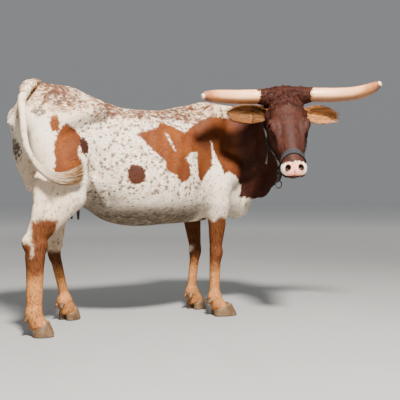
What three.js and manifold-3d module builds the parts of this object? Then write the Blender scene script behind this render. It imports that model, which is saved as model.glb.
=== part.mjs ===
// A texas longhorn cow, life size, standing with its head turned back to its right side.
// Millimetres, +X towards the chest, +Y to the animal's left, +Z up.
// The flesh is one smooth distance field, made of named bones and muscles.
// Each flesh piece is a tube of rings cast on to that field, parted from the next by a thin plane cut.
import * as THREE from "three";
import { mergeVertices } from "three/addons/utils/BufferGeometryUtils.js";
import Module from "manifold-3d";

const wasm = await Module();
wasm.setup();

// Driving dimensions of the animal
const SACRUM_HEIGHT = 1338;
const WITHERS_HEIGHT = 1300;
const BACK_HEIGHT = 1243;
const BELLY_HEIGHT = 548;
const BARREL_HALF_WIDTH = 285;
const POLL = [637, -514, 1306];
const FACE_HEADING = -116.3;
const FACE_PITCH = 60;
const HEAD_ROLL = 4.8;
const HORN_BASE_RADIUS = 41;
const HORN_REACH = 372;
const HORN_FORWARD = 190;
const HORN_RISES = { left: [0, -5, -12, -15, -2, 24], right: [0, 0, -1, -2, -5, -10] };
const EAR_LENGTHS = { left: 232, right: 254 };
const EAR_HALF_WIDTH = 53;
const EYE_RADIUS = 21;
const GAP = 0.3;
const TAIL_CLEARANCE = 3;
const LEG_MARGIN = 24;
const HORN_ROOT = [-2, 124, 0];
const EAR_ROOT = [98, 106, -44];
const BOSS_END = 160;
const EAR_LIFTS = { left: -0.05, right: 0.08 };
const EAR_BACKS = { left: 0.34, right: -0.12 };
const EYE_AT = [236, 82, 6];
const EYE_SLANT = 24;
const EYE_FORWARD = 24;
const NOSTRIL_AT = [500, 37, 20];
const MOUTH_AT = [500, 0, -29];
const MOUTH_TILT = -17;
const NOSEBAND_AT = 408;
const NOSEBAND_DROP = 10;
const NOSEBAND_BOW = 26;
const NOSEBAND_WIDTH = 28;
const NOSEBAND_SLACK = 6;
const NOSEBAND_THICKNESS = 11;
const CHAIN_OFFSET = 24;
const CHAIN_ANGLE = -135;
const ROPE_RADIUS = 6;
const ROPE_CLEARANCE = 8;
const TOE_HEIGHT = 74;
const HEEL_HEIGHT = 40;
const CLAW_SIDES = 10;
const CLAW_INNER = 25;
const CLAW_OUTER = 33;
const SWITCH_LOCKS = 17;
const SWITCH_LOCK_WIDTH = 20;
const SWITCH_LOCK_THICK = 8;
const SWITCH_SEED = 11;
const LOCK_CLEARANCE = 12;
const POLL_LOCK_LENGTH = 46;
const POLL_LOCK_WIDTH = 19;
const POLL_LOCK_THICK = 9;
const POLL_LOCK_ROWS = [104, 76, 50, 26, 4];
const POLL_SEED = 5;
const EAR_LOCKS = 6;
const EAR_LOCK_LENGTH = 62;
const EAR_LOCK_WIDTH = 15;
const EAR_LOCK_THICK = 6;
const EAR_SEED = 23;
// The golden turn spreads repeats evenly round a core
const GOLDEN = 0.381966;
// Toe and heel lengths of a claw, from its middle
const SHORT_HOOF = [58, 50];
const LONG_HOOF = [88, 58];

const rad = THREE.MathUtils.degToRad;
const V = (x, y, z) => new THREE.Vector3(x, y, z);
const mix = THREE.MathUtils.lerp;

// A seeded random number from 0 to 1
function randomFrom(seed) {
  let state = seed;
  return () => {
    state = (state * 1664525 + 1013904223) % 4294967296;
    return state / 4294967296;
  };
}

// Distance field shapes: each is a function of a point, below zero inside

function smoothMin(a, b, k) {
  const h = Math.max(k - Math.abs(a - b), 0) / k;
  return Math.min(a, b) - h * h * k * 0.25;
}

function blend(k, ...shapes) {
  return (p) => shapes.reduce((d, shape) => smoothMin(d, shape(p), k), Infinity);
}

function hollowed(k, base, ...cutters) {
  return (p) => cutters.reduce((d, cutter) => -smoothMin(-d, cutter(p), k), base(p));
}

// An ellipsoid, tilted about Y and then turned about Z, in degrees
function egg(centre, radii, tilt = 0, turn = 0) {
  const c = V(...centre);
  const back = new THREE.Quaternion()
    .setFromEuler(new THREE.Euler(0, rad(tilt), rad(turn), "ZYX"))
    .invert();
  const q = V(0, 0, 0);
  return (p) => {
    q.copy(p).sub(c).applyQuaternion(back);
    const k0 = Math.hypot(q.x / radii[0], q.y / radii[1], q.z / radii[2]);
    const k1 = Math.hypot(q.x / radii[0] ** 2, q.y / radii[1] ** 2, q.z / radii[2] ** 2);
    return k1 < 1e-9 ? -Math.min(...radii) : (k0 * (k0 - 1)) / k1;
  };
}

// A tapered bar with round ends. flat squeezes it along the side direction
function limb(from, to, r0, r1, flat = 1, side = [0, 1, 0]) {
  const a = V(...from);
  const ab = V(...to).sub(a);
  const s = V(...side).normalize();
  const d = V(0, 0, 0);
  return (p) => {
    d.copy(p).sub(a);
    const t = THREE.MathUtils.clamp(d.dot(ab) / ab.lengthSq(), 0, 1);
    d.addScaledVector(ab, -t);
    const across = d.dot(s);
    const length = Math.sqrt(d.lengthSq() + across * across * (1 / flat ** 2 - 1));
    return length - mix(r0, r1, t);
  };
}

// The same shape on both sides of the middle plane
function paired(shape) {
  const q = V(0, 0, 0);
  return (p) => shape(q.set(p.x, -Math.abs(p.y), p.z));
}

// A smooth value along x through a few named stations
function profile(points) {
  return (x) => {
    const last = points.length - 1;
    if (x <= points[0][0]) return points[0][1];
    if (x >= points[last][0]) return points[last][1];
    const i = points.findIndex((point) => point[0] > x) - 1;
    const slope = (j) => {
      const a = points[Math.max(j - 1, 0)];
      const b = points[Math.min(j + 1, last)];
      return (b[1] - a[1]) / (b[0] - a[0]);
    };
    const [x0, y0] = points[i];
    const [x1, y1] = points[i + 1];
    const step = x1 - x0;
    const t = (x - x0) / step;
    const t2 = t * t;
    const t3 = t2 * t;
    return (
      (2 * t3 - 3 * t2 + 1) * y0 +
      (t3 - 2 * t2 + t) * step * slope(i) +
      (3 * t2 - 2 * t3) * y1 +
      (t3 - t2) * step * slope(i + 1)
    );
  };
}

// Trunk: the top line, the belly line and the half width along the body

const trunkTop = profile([
  [-760, SACRUM_HEIGHT - 130],
  [-700, SACRUM_HEIGHT - 52],
  [-640, SACRUM_HEIGHT - 14],
  [-560, SACRUM_HEIGHT + 2],
  [-490, SACRUM_HEIGHT + 4],
  [-400, SACRUM_HEIGHT - 26],
  [-250, BACK_HEIGHT + 20],
  [-153, BACK_HEIGHT],
  [0, BACK_HEIGHT - 3],
  [100, BACK_HEIGHT + 5],
  [200, BACK_HEIGHT + 30],
  [300, WITHERS_HEIGHT - 4],
  [388, WITHERS_HEIGHT + 6],
  [500, WITHERS_HEIGHT - 25],
  [600, WITHERS_HEIGHT - 110],
]);
const trunkBottom = profile([
  [-760, 1030],
  [-600, 880],
  [-480, 760],
  [-390, BELLY_HEIGHT + 118],
  [-330, BELLY_HEIGHT + 78],
  [-260, BELLY_HEIGHT + 36],
  [-180, BELLY_HEIGHT + 12],
  [-70, BELLY_HEIGHT],
  [110, BELLY_HEIGHT + 8],
  [270, BELLY_HEIGHT + 14],
  [420, BELLY_HEIGHT + 32],
  [600, BELLY_HEIGHT + 150],
]);
const trunkHalfWidth = profile([
  [-760, 95],
  [-650, 160],
  [-500, 190],
  [-380, 200],
  [-260, 232],
  [-120, BARREL_HALF_WIDTH - 8],
  [20, BARREL_HALF_WIDTH],
  [150, BARREL_HALF_WIDTH - 18],
  [290, 215],
  [420, 172],
  [600, 105],
]);
// How much narrower the section is at the top than at the belly
const trunkPear = profile([
  [-800, 0],
  [-420, 0.02],
  [-260, 0.16],
  [0, 0.22],
  [200, 0.26],
  [400, 0.3],
  [600, 0.2],
]);

// Above 1 the trunk's section is squarer than an ellipse
const TRUNK_SQUARENESS = 1.15;
function trunk(p) {
  const x = THREE.MathUtils.clamp(p.x, -735, 600);
  const top = trunkTop(x);
  const bottom = trunkBottom(x);
  const half = (top - bottom) / 2;
  const v = (p.z - (top + bottom) / 2) / half;
  const width = trunkHalfWidth(x) * (1 - trunkPear(x) * THREE.MathUtils.clamp(v, -1, 1));
  const across = Math.abs(p.y / width) ** TRUNK_SQUARENESS;
  const round = Math.hypot(across, Math.abs(v) ** TRUNK_SQUARENESS) ** (1 / TRUNK_SQUARENESS);
  const depth = (round - 1) * width * 0.85;
  return Math.hypot(Math.max(depth, 0), p.x - x) + Math.min(depth, 0);
}

const body = blend(
  55,
  trunk,
  paired(egg([-388, -176, 1200], [66, 36, 46], 10)),
  paired(limb([-390, -164, 1198], [-600, -174, 1130], 36, 60)),
  paired(egg([-732, -116, 1150], [62, 50, 70])),
  egg([-640, 0, 1160], [140, 150, 150]),
  paired(egg([-636, -156, 985], [114, 82, 225], -10)),
  paired(egg([345, -150, 1085], [95, 52, 205], 18)),
  paired(egg([500, -128, 885], [92, 72, 105], -20)),
  paired(egg([360, -160, 815], [125, 66, 125])),
  egg([520, 0, 780], [150, 118, 195]),
  egg([630, -18, 722], [110, 66, 142], -20),
);

// Legs: each is set out by its joints, from the photograph

function foreLeg(elbow, knee, fetlock, toeTurn) {
  return { elbow, knee, fetlock, toeTurn };
}

const FORE = {
  right: foreLeg([395, -165, 705], [402, -142, 375], [398, -140, 118], -14),
  left: foreLeg([395, 165, 705], [420, 135, 365], [395, 130, 120], 22),
};
const HIND = {
  right: {
    stifle: [-478, -205, 800],
    hock: [-715, -168, 452],
    heel: [-768, -165, 490],
    fetlock: [-735, -172, 122],
    toeTurn: -20,
    stout: 1.2,
  },
  left: {
    stifle: [-415, 205, 800],
    hock: [-500, 172, 440],
    heel: [-547, 170, 486],
    fetlock: [-440, 186, 120],
    toeTurn: 25,
    stout: 0.9,
  },
};

const heading = (turn) => V(Math.cos(rad(turn)), Math.sin(rad(turn)), 0);
const sideOf = (turn) => V(-Math.sin(rad(turn)), Math.cos(rad(turn)), 0);
const along = (point, turn, forward, left, up) =>
  V(...point)
    .addScaledVector(heading(turn), forward)
    .addScaledVector(sideOf(turn), left)
    .add(V(0, 0, up))
    .toArray();

// The pastern and the two toes, from the fetlock down to the hoof's top
const PASTERN_FORWARD = 44;
const CORONET_HEIGHT = 64;
const TOE_SPREAD = 28;

function footField(fetlock, turn) {
  const side = sideOf(turn).toArray();
  const down = CORONET_HEIGHT - 16 - fetlock[2];
  const toe = (sign) =>
    limb(
      along(fetlock, turn, 2, sign * 14, -4),
      along(fetlock, turn, PASTERN_FORWARD, sign * TOE_SPREAD, down),
      32,
      33,
      0.85,
      side,
    );
  return [
    egg(along(fetlock, turn, -2, 0, 4), [39, 34, 38], 0, turn),
    toe(1),
    toe(-1),
    limb(along(fetlock, turn, -20, 0, -8), along(fetlock, turn, 0, 0, down + 10), 26, 30, 1.2, side),
  ];
}

function foreLegField({ elbow, knee, fetlock, toeTurn }) {
  const side = sideOf(toeTurn).toArray();
  return blend(
    22,
    limb(along(elbow, 0, 6, 0, 60), along(elbow, 0, 10, 0, -60), 84, 70, 0.76),
    limb(along(elbow, 0, 10, 0, -40), along(knee, toeTurn, 0, 0, 50), 70, 42, 0.8),
    egg(along(elbow, 0, -52, -2, 0), [34, 26, 44]),
    egg(along(knee, toeTurn, 3, 0, 6), [44, 41, 52], 0, toeTurn),
    limb(along(knee, toeTurn, -4, 0, -40), along(fetlock, toeTurn, -4, 0, 30), 38, 34, 0.76, side),
    ...footField(fetlock, toeTurn),
  );
}

// The thigh, which lies in the torso, and the stifle
const thighField = (stifle) => [
  egg(along(stifle, 0, -85, -Math.sign(stifle[1]) * 18, 60), [115, 72, 190], 18),
  egg(along(stifle, 0, -28, 0, 0), [60, 46, 74], 20),
];

function hindLegField({ stifle, hock, heel, fetlock, toeTurn, stout }) {
  const side = sideOf(toeTurn).toArray();
  return blend(
    26,
    ...thighField(stifle),
    limb(along(stifle, 0, -62, 0, -70), along(hock, 0, 12, 0, 70), 80, 44, 0.68),
    limb(along(stifle, 0, -205, -Math.sign(stifle[1]) * 40, 0), along(heel, 0, 70, 0, 156), 58, 42, 0.7),
    limb(along(heel, 0, 70, 0, 156), along(heel, 0, 4, 0, 6), 42, 24, 0.7),
    egg(along(hock, toeTurn, 4, 0, 8), [48, 37, 62], 20, toeTurn),
    egg(heel, [25, 24, 40], 10, toeTurn),
    limb(heel, along(hock, toeTurn, -16, 0, -60), 22, 32 * stout, 0.8, side),
    limb(
      along(hock, toeTurn, 28 - 34 * stout, 0, -50),
      along(fetlock, toeTurn, -1, 0, 30),
      42 * stout,
      36 * stout,
      0.74,
      side,
    ),
    ...footField(fetlock, toeTurn),
  );
}

// Neck: a bent bar, deep at the chest, with the dewlap hanging under it
const neck = blend(
  60,
  limb([430, 0, 1120], [590, -40, 1125], 165, 150, 0.85),
  limb([590, -45, 1125], [700, -190, 1150], 150, 122, 0.86, [0.7, 0.7, 0]),
  limb([700, -190, 1150], [682, -420, 1200], 122, 104, 0.9, [1, 0, 0]),
  limb([560, -20, 960], [690, -170, 1010], 130, 95, 0.72, [0.6, 0.8, 0]),
  limb([690, -170, 1010], [668, -430, 1115], 95, 72, 0.7, [1, 0, 0]),
  limb([630, -50, 880], [702, -250, 950], 82, 66, 0.5, [0.9, 0.35, 0]),
  limb([668, -40, 752], [706, -200, 796], 80, 60, 0.45, [0.95, 0.3, 0]),
  limb([706, -200, 796], [712, -322, 866], 60, 50, 0.45, [1, 0, 0]),
  limb([712, -322, 866], [682, -420, 984], 50, 44, 0.5, [1, 0, 0]),
);

// The head has a frame of its own: x from the poll down the face, y to its left, z out of the forehead
const faceForward = heading(FACE_HEADING)
  .multiplyScalar(Math.cos(rad(FACE_PITCH)))
  .add(V(0, 0, -Math.sin(rad(FACE_PITCH))));
const headLeft = sideOf(FACE_HEADING).applyAxisAngle(faceForward, rad(HEAD_ROLL));
const headUp = faceForward.clone().cross(headLeft);
const headMatrix = new THREE.Matrix4().makeBasis(faceForward, headLeft, headUp).setPosition(...POLL);
const headInverse = headMatrix.clone().invert();
const fromHead = (x, y, z) => V(x, y, z).applyMatrix4(headMatrix);

// Half widths, crown and jaw lines of the face, along the head's own x
const headLocal = hollowed(
  14,
  blend(
    26,
    egg([78, 0, -38], [118, 106, 88]),
    egg([150, 0, -8], [165, 98, 58]),
    paired(limb([6, 0, 0], [4, -112, -2], 54, 44)),
    egg([2, 0, 12], [48, 92, 46]),
    limb([200, 0, -26], [430, 0, -24], 76, 56, 1.08),
    limb([250, 0, 6], [450, 0, 0], 42, 34, 1.1),
    paired(egg([226, -92, 10], [54, 32, 40], 0, 10)),
    paired(limb([260, -74, -16], [350, -50, -20], 38, 30)),
    paired(egg([212, -74, -78], [92, 30, 78], -10)),
    paired(limb([172, -56, -118], [420, -26, -76], 46, 32)),
    paired(egg([112, -104, -42], [30, 22, 26])),
    egg([474, 3, -12], [60, 64, 43], 10),
    paired(egg([488, -40, -24], [42, 30, 38])),
    egg([458, 0, -62], [60, 48, 38]),
  ),
  paired(egg([300, -108, -8], [70, 26, 30], 10, 8)),
);
function head(p) {
  return headLocal(p.clone().applyMatrix4(headInverse));
}

// Tail: the dock rises over the rump, falls beside the right pin bone and swings forward on the thigh
const TAIL_PATH = [
  [-620, 0, 1306],
  [-650, -4, 1334],
  [-706, -42, 1302],
  [-762, -120, 1212],
  [-797, -192, 1120],
  [-799, -215, 1032],
  [-784, -233, 958],
  [-750, -252, 893],
  [-700, -268, 840],
  [-630, -284, 806],
  [-560, -290, 808],
  [-502, -292, 828],
].map((point) => V(...point));

// Radii of the tail: at the dock, down the bone, what the switch adds, and what its end loses
const DOCK_RADIUS = 29;
const TAIL_BONE_RADIUS = 15;
const SWITCH_SWELL = 10;
const SWITCH_TAPER = 14;
function tailRadius(t) {
  const bone = mix(DOCK_RADIUS, TAIL_BONE_RADIUS, Math.min(t * 1.4, 1));
  const swell = SWITCH_SWELL * THREE.MathUtils.smoothstep(t, 0.7, 0.85);
  return bone + swell - SWITCH_TAPER * THREE.MathUtils.smoothstep(t, 0.86, 1);
}

const rump = blend(
  40,
  body,
  limb([-560, 0, 1290], [-700, -2, 1322], 34, 36),
  egg([-700, 0, 1300], [60, 44, 44]),
);
const legFields = [
  foreLegField(FORE.right),
  foreLegField(FORE.left),
  hindLegField(HIND.right),
  hindLegField(HIND.left),
];
const thighs = [...thighField(HIND.right.stifle), ...thighField(HIND.left.stifle)];
const flankHollow = paired(egg([-262, -292, 1120], [90, 40, 70], -12));
const trunkAndLegs = hollowed(50, blend(42, rump, ...legFields), flankHollow);
const flesh = blend(60, trunkAndLegs, neck, head);


// The line each leg's rings are cast from
function foreCore({ elbow, knee, fetlock, toeTurn }) {
  return [
    along(elbow, 0, 0, -Math.sign(elbow[1]) * 20, 110),
    elbow,
    along(knee, 0, 0, 0, 120),
    knee,
    along(knee, 0, -6, 0, -100),
    along(fetlock, toeTurn, -4, 0, 40),
    along(fetlock, toeTurn, 4, 0, -14),
    along(fetlock, toeTurn, PASTERN_FORWARD - 8, 0, CORONET_HEIGHT - fetlock[2] - 14),
  ];
}
function hindCore({ stifle, hock, fetlock, toeTurn }) {
  return [
    along(stifle, 0, -90, -Math.sign(stifle[1]) * 20, 140),
    along(stifle, 0, -70, 0, 30),
    along(stifle, 0, -110, 0, -110),
    along(hock, 0, 10, 0, 90),
    along(hock, 0, -10, 0, 10),
    along(hock, 0, -8, 0, -90),
    along(fetlock, toeTurn, -2, 0, 40),
    along(fetlock, toeTurn, 4, 0, -14),
    along(fetlock, toeTurn, PASTERN_FORWARD - 8, 0, CORONET_HEIGHT - fetlock[2] - 14),
  ];
}
// Ray casting: how far from a point the field's level lies, along a direction
function castOut(field, from, direction, reach, level) {
  const p = V(0, 0, 0);
  const at = (t) => field(p.copy(from).addScaledVector(direction, t)) - level;
  let t = 0;
  let value = at(0);
  if (value > 0) return 0.5;
  while (value <= 0) {
    const next = Math.min(t + Math.max(-value * 0.6, 2.5), reach);
    if (next >= reach) return reach;
    value = at(next);
    if (value > 0) {
      let low = t;
      let high = next;
      for (let i = 0; i < 16; i++) {
        const middle = (low + high) / 2;
        if (at(middle) > 0) high = middle;
        else low = middle;
      }
      return (low + high) / 2;
    }
    t = next;
  }
  return t;
}

// A point moved out of the field until it is the given distance clear of its surface
function settled(field, point, clearance) {
  const p = point.clone();
  const slope = V(0, 0, 0);
  for (let step = 0; step < 40; step++) {
    const d = field(p);
    if (d >= clearance) break;
    slope.set(
      field(V(p.x + 1, p.y, p.z)) - field(V(p.x - 1, p.y, p.z)),
      field(V(p.x, p.y + 1, p.z)) - field(V(p.x, p.y - 1, p.z)),
      field(V(p.x, p.y, p.z + 1)) - field(V(p.x, p.y, p.z - 1)),
    );
    p.addScaledVector(slope.normalize(), clearance - d);
  }
  return p;
}

function geometryOf(points, index) {
  const geometry = new THREE.BufferGeometry();
  const flat = points.flatMap((p) => p.toArray());
  geometry.setAttribute("position", new THREE.Float32BufferAttribute(flat, 3));
  geometry.setIndex(index);
  return geometry;
}

// A closed tube from rings of points, with a fan at each end.
// Each quad is split along its shorter diagonal, or always the same way
function closedTube(rings, startPole, endPole, sameWay = false) {
  const sides = rings[0].length;
  const points = [...rings.flat(), startPole, endPole];
  const start = points.length - 2;
  const end = points.length - 1;
  const index = [];
  for (let i = 0; i < rings.length - 1; i++)
    for (let j = 0; j < sides; j++) {
      const k = (j + 1) % sides;
      const [a, b, c, d] = [i * sides + j, i * sides + k, (i + 1) * sides + k, (i + 1) * sides + j];
      const short = points[a].distanceTo(points[c]) < points[b].distanceTo(points[d]);
      if (sameWay || short) index.push(a, b, c, a, c, d);
      else index.push(a, b, d, b, c, d);
    }
  const top = (rings.length - 1) * sides;
  for (let j = 0; j < sides; j++) {
    const k = (j + 1) % sides;
    index.push(start, k, j, end, top + j, top + k);
  }
  return geometryOf(points, index);
}

// Even steps from 0 to 1
const even = (count) => Array.from({ length: count }, (_, i) => i / (count - 1));

// A tube whose rings are cast out from a core line to the field's surface.
// up sets where each ring starts. domes lists, for each end, the angles of the rings that round it off.
// inset draws every point back towards the core
function skin(field, shape) {
  const { core, stations, sides, up, reach, domes = [[], []], normal, level = 0, inset = null } = shape;
  const curve = new THREE.CatmullRomCurve3(core.map((point) => V(...point)), false, "centripetal");
  const axisAt = (t) => (normal ? normal.clone() : curve.getTangent(t).normalize());
  const ring = (t, tilt) => {
    const centre = curve.getPoint(t);
    const axis = axisAt(t);
    const side = V(...up).cross(axis).normalize();
    const above = axis.clone().cross(side);
    const lean = rad(tilt);
    return Array.from({ length: sides }, (_, j) => {
      const angle = (2 * Math.PI * j) / sides;
      const direction = side
        .clone()
        .multiplyScalar(Math.cos(angle) * Math.cos(lean))
        .addScaledVector(above, Math.sin(angle) * Math.cos(lean))
        .addScaledVector(axis, Math.sin(lean));
      const far = castOut(field, centre, direction, typeof reach === "function" ? reach(t) : reach, level);
      return centre.clone().addScaledVector(direction, Math.max(far - (inset ?? 0), 0.2));
    });
  };
  const pole = (t, sign, domed) => {
    const centre = curve.getPoint(t);
    const direction = axisAt(t).multiplyScalar(sign);
    return centre.addScaledVector(direction, domed ? castOut(field, centre, direction, 250, level) : 0);
  };
  const first = stations[0];
  const last = stations[stations.length - 1];
  const rings = [
    ...domes[0].map((tilt) => ring(first, -tilt)).reverse(),
    ...stations.map((t) => ring(t, 0)),
    ...domes[1].map((tilt) => ring(last, tilt)),
  ];
  const start = pole(first, -1, domes[0].length > 0);
  const end = pole(last, 1, domes[1].length > 0);
  return closedTube(rings, start, end, inset !== null);
}

// Solids: closed meshes that can be joined and cut

function solid(geometry) {
  const bare = geometry.index ? geometry.clone() : geometry;
  bare.deleteAttribute("normal");
  bare.deleteAttribute("uv");
  const merged = mergeVertices(bare, 1e-3);
  const made = new wasm.Manifold(
    new wasm.Mesh({
      numProp: 3,
      vertProperties: new Float32Array(merged.attributes.position.array),
      triVerts: new Uint32Array(merged.index.array),
    }),
  );
  return made.volume() < 0 ? flipped(merged) : made;
}

function flipped(geometry) {
  const index = geometry.index.array;
  for (let i = 0; i < index.length; i += 3) [index[i + 1], index[i + 2]] = [index[i + 2], index[i + 1]];
  return new wasm.Manifold(
    new wasm.Mesh({
      numProp: 3,
      vertProperties: new Float32Array(geometry.attributes.position.array),
      triVerts: new Uint32Array(index),
    }),
  );
}

const join = (...solids) => solids.reduce((all, one) => all.add(one));
const cut = (base, ...cutters) => cutters.reduce((left, one) => left.subtract(one), base);

function largest(made) {
  const bodies = made.decompose();
  return bodies.reduce((best, one) => (one.volume() > best.volume() ? one : best));
}

// A plane that parts two pieces. Its normal points to the piece on the far side
function parting(point, normal) {
  const n = V(...normal).normalize();
  return { n, offset: n.dot(V(...point)) };
}
const beyond = (made, plane) => made.trimByPlane(plane.n.toArray(), plane.offset + GAP / 2);
function before(made, plane) {
  return made.trimByPlane(plane.n.clone().negate().toArray(), -plane.offset + GAP / 2);
}

// Where the body is parted

const shifted = (plane, by) => ({ n: plane.n, offset: plane.offset + by });

const neckRoot = parting([560, -10, 1000], [0.86, -0.34, 0.12]);
const headRoot = parting(
  fromHead(60, 0, -106).toArray(),
  headUp.clone().multiplyScalar(-0.9).addScaledVector(faceForward, -0.43).toArray(),
);
const legRoots = {
  fore_right: parting([400, -165, 640], [0, -0.35, -0.94]),
  fore_left: parting([400, 165, 640], [0, 0.35, -0.94]),
  hind_right: parting([-560, -180, 850], [0.1, -0.4, -0.91]),
  hind_left: parting([-520, 180, 850], [0.1, 0.4, -0.91]),
};
const shins = {
  fore_right: parting([400, -142, 455], [0, 0, -1]),
  fore_left: parting([418, 138, 445], [0, 0, -1]),
  hind_right: parting([-700, -170, 560], [0.25, 0, -1]),
  hind_left: parting([-480, 172, 550], [0.25, 0, -1]),
};

const group = new THREE.Group();
const materials = {
  coat: { color: 0xe6ddd2, roughness: 0.8 },
  face: { color: 0x6b3626, roughness: 0.8 },
  shin: { color: 0xa8683f, roughness: 0.8 },
  tailHair: { color: 0xdccbb4, roughness: 0.85 },
  horn: { color: 0xe8cfae, roughness: 0.4 },
  hoof: { color: 0x9c7a60, roughness: 0.5 },
  eye: { color: 0x1a0f0a, roughness: 0.08 },
  udder: { color: 0xc9a18c, roughness: 0.65 },
  webbing: { color: 0x8d8f93, roughness: 0.8 },
  steel: { color: 0x8a8c8e, roughness: 0.35, metalness: 1 },
};

function add(name, made, look) {
  const mesh = largest(made).getMesh();
  const geometry = new THREE.BufferGeometry();
  const flat = new Float32Array(mesh.numVert * 3);
  for (let i = 0; i < mesh.numVert; i++)
    flat.set(mesh.vertProperties.subarray(i * mesh.numProp, i * mesh.numProp + 3), i * 3);
  geometry.setAttribute("position", new THREE.BufferAttribute(flat, 3));
  geometry.setIndex(new THREE.BufferAttribute(new Uint32Array(mesh.triVerts), 1));
  const piece = new THREE.Mesh(geometry, new THREE.MeshStandardMaterial(materials[look]));
  piece.name = name;
  group.add(piece);
}

// A ball stretched to its radii, placed by a matrix
function ball(radii, matrix, wide = 14, high = 9) {
  const geometry = new THREE.SphereGeometry(1, wide, high);
  geometry.scale(...radii);
  geometry.applyMatrix4(matrix);
  return solid(geometry);
}
const at = (x, y, z) => new THREE.Matrix4().makeTranslation(x, y, z);
const inHead = (x, y, z, turnY = 0, turnZ = 0) =>
  headMatrix
    .clone()
    .multiply(at(x, y, z))
    .multiply(new THREE.Matrix4().makeRotationFromEuler(new THREE.Euler(0, rad(turnY), rad(turnZ), "ZYX")));

// A round tube along a path. radius is a function of the way along, and grow thickens it all over
function roundTube(path, radius, { count = 16, sides = 10, grow = 0, from = 0, to = 1, flat = 1 } = {}) {
  const curve = new THREE.CatmullRomCurve3(path, false, "centripetal");
  const first = curve.getTangentAt(from).normalize();
  let side = Math.abs(first.z) < 0.9 ? V(0, 0, 1).cross(first) : V(1, 0, 0).cross(first);
  side.normalize();
  const rings = even(count).map((s) => {
    const t = mix(from, to, s);
    const centre = curve.getPointAt(t);
    const tangent = curve.getTangentAt(t).normalize();
    side = side.clone().addScaledVector(tangent, -side.dot(tangent)).normalize();
    const above = tangent.clone().cross(side);
    const r = radius(t) + grow;
    return Array.from({ length: sides }, (_, j) => {
      const angle = (2 * Math.PI * j) / sides;
      return centre
        .clone()
        .addScaledVector(side, r * Math.cos(angle))
        .addScaledVector(above, r * flat * Math.sin(angle));
    });
  });
  const start = curve.getPointAt(from).addScaledVector(curve.getTangentAt(from), -grow);
  const end = curve.getPointAt(to).addScaledVector(curve.getTangentAt(to), grow);
  return solid(closedTube(rings, start, end, true));
}

// A closed ring of wire: straight sides of the given length between two half circles
function wireLink(matrix, bend, straight, wire) {
  const points = [];
  for (let i = 0; i < 14; i++) {
    const angle = (2 * Math.PI * (i + 0.5)) / 14;
    const z = bend * Math.sin(angle) + (Math.sign(Math.sin(angle)) * straight) / 2;
    points.push(V(bend * Math.cos(angle), 0, z));
  }
  const curve = new THREE.CatmullRomCurve3(points, true);
  const geometry = new THREE.TubeGeometry(curve, 14, wire, 6, true);
  geometry.applyMatrix4(matrix);
  return solid(geometry);
}

// A flat lock of hair with a pointed tip, along a spine of four points
const LOCK_SIZES = [0.8, 1, 0.62];
function lockSolid(spine, across, width, thick) {
  const rings = LOCK_SIZES.map((size, i) => {
    const run = spine[i + 1].clone().sub(spine[i]).normalize();
    const side = across.clone().addScaledVector(run, -across.dot(run)).normalize();
    const lift = run.clone().cross(side);
    return [
      [1, 0],
      [0, 1],
      [-1, 0],
      [0, -1],
    ].map(([u, v]) =>
      spine[i]
        .clone()
        .addScaledVector(side, (u * size * width) / 2)
        .addScaledVector(lift, (v * size * thick) / 2),
    );
  });
  return solid(closedTube(rings, spine[0], spine[3], true));
}

// Torso
const torsoField = blend(60, hollowed(50, blend(42, rump, ...thighs), flankHollow), neck);
const torsoTube = (level) =>
  solid(
    skin(torsoField, {
      core: [
        [-670, 0, 1095],
        [-540, 0, 1050],
        [-300, 0, 950],
        [0, 0, 890],
        [300, 0, 920],
        [480, 0, 960],
        [680, 0, 940],
      ],
      stations: even(23),
      sides: 22,
      up: [0, 0, 1],
      normal: V(1, 0, 0),
      reach: 460,
      domes: [[18, 34, 50, 66], []],
      level,
    }),
  );
const torsoWhole = before(torsoTube(0), neckRoot);

// Legs, with the tops of the tubes left in the torso
const legCores = {
  fore_right: foreCore(FORE.right),
  fore_left: foreCore(FORE.left),
  hind_right: hindCore(HIND.right),
  hind_left: hindCore(HIND.left),
};
const FORE_REACH = 100;
const HIND_REACH = 165;
function legTube(name, level, inset = null) {
  const wide = name.startsWith("fore") ? FORE_REACH : HIND_REACH;
  return solid(
    skin(trunkAndLegs, {
      core: legCores[name],
      stations: even(19),
      sides: 10,
      up: [1, 0, 0],
      reach: (t) => mix(wide, 80, THREE.MathUtils.smoothstep(t, 0.25, 0.45)),
      level,
      inset,
    }),
  );
}
const legNames = Object.keys(legCores);
const legs = Object.fromEntries(legNames.map((name) => [name, legTube(name, 0)]));
const wholeBody = join(torsoWhole, ...Object.values(legs));
// The space each leg's own node takes out of the body, a little wider than the leg
const legSpace = Object.fromEntries(legNames.map((name) => [name, legTube(name, LEG_MARGIN, 0)]));

// Udder, with four teats under it
const UDDER_AT = [-470, 0, 742];
const teat = (x, y, grow) =>
  roundTube(
    [V(x, y, 690), V(x, y, 650), V(x, y * 1.04, 592)],
    (t) => mix(17, 11, t) * (t > 0.97 ? 0.6 : 1),
    { count: 4, sides: 6, grow },
  );
const udderSolid = (grow) =>
  join(
    ball([105 + grow, 96 + grow, 84 + grow], at(...UDDER_AT), 12, 7),
    teat(-506, -52, grow),
    teat(-506, 52, grow),
    teat(-446, -50, grow),
    teat(-446, 50, grow),
  );

// Tail, laid clear of the rump and the right thigh
const settledTail = TAIL_PATH.map((point, i) =>
  i < 2 ? point : settled(trunkAndLegs, point, tailRadius(i / (TAIL_PATH.length - 1)) + TAIL_CLEARANCE),
);
const DOCK_END = 0.4;
const SWITCH_START = 0.68;
const tailPart = (from, to, grow) =>
  roundTube(settledTail, tailRadius, { count: Math.round(3 + 20 * (to - from)), sides: 9, grow, from, to });

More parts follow.
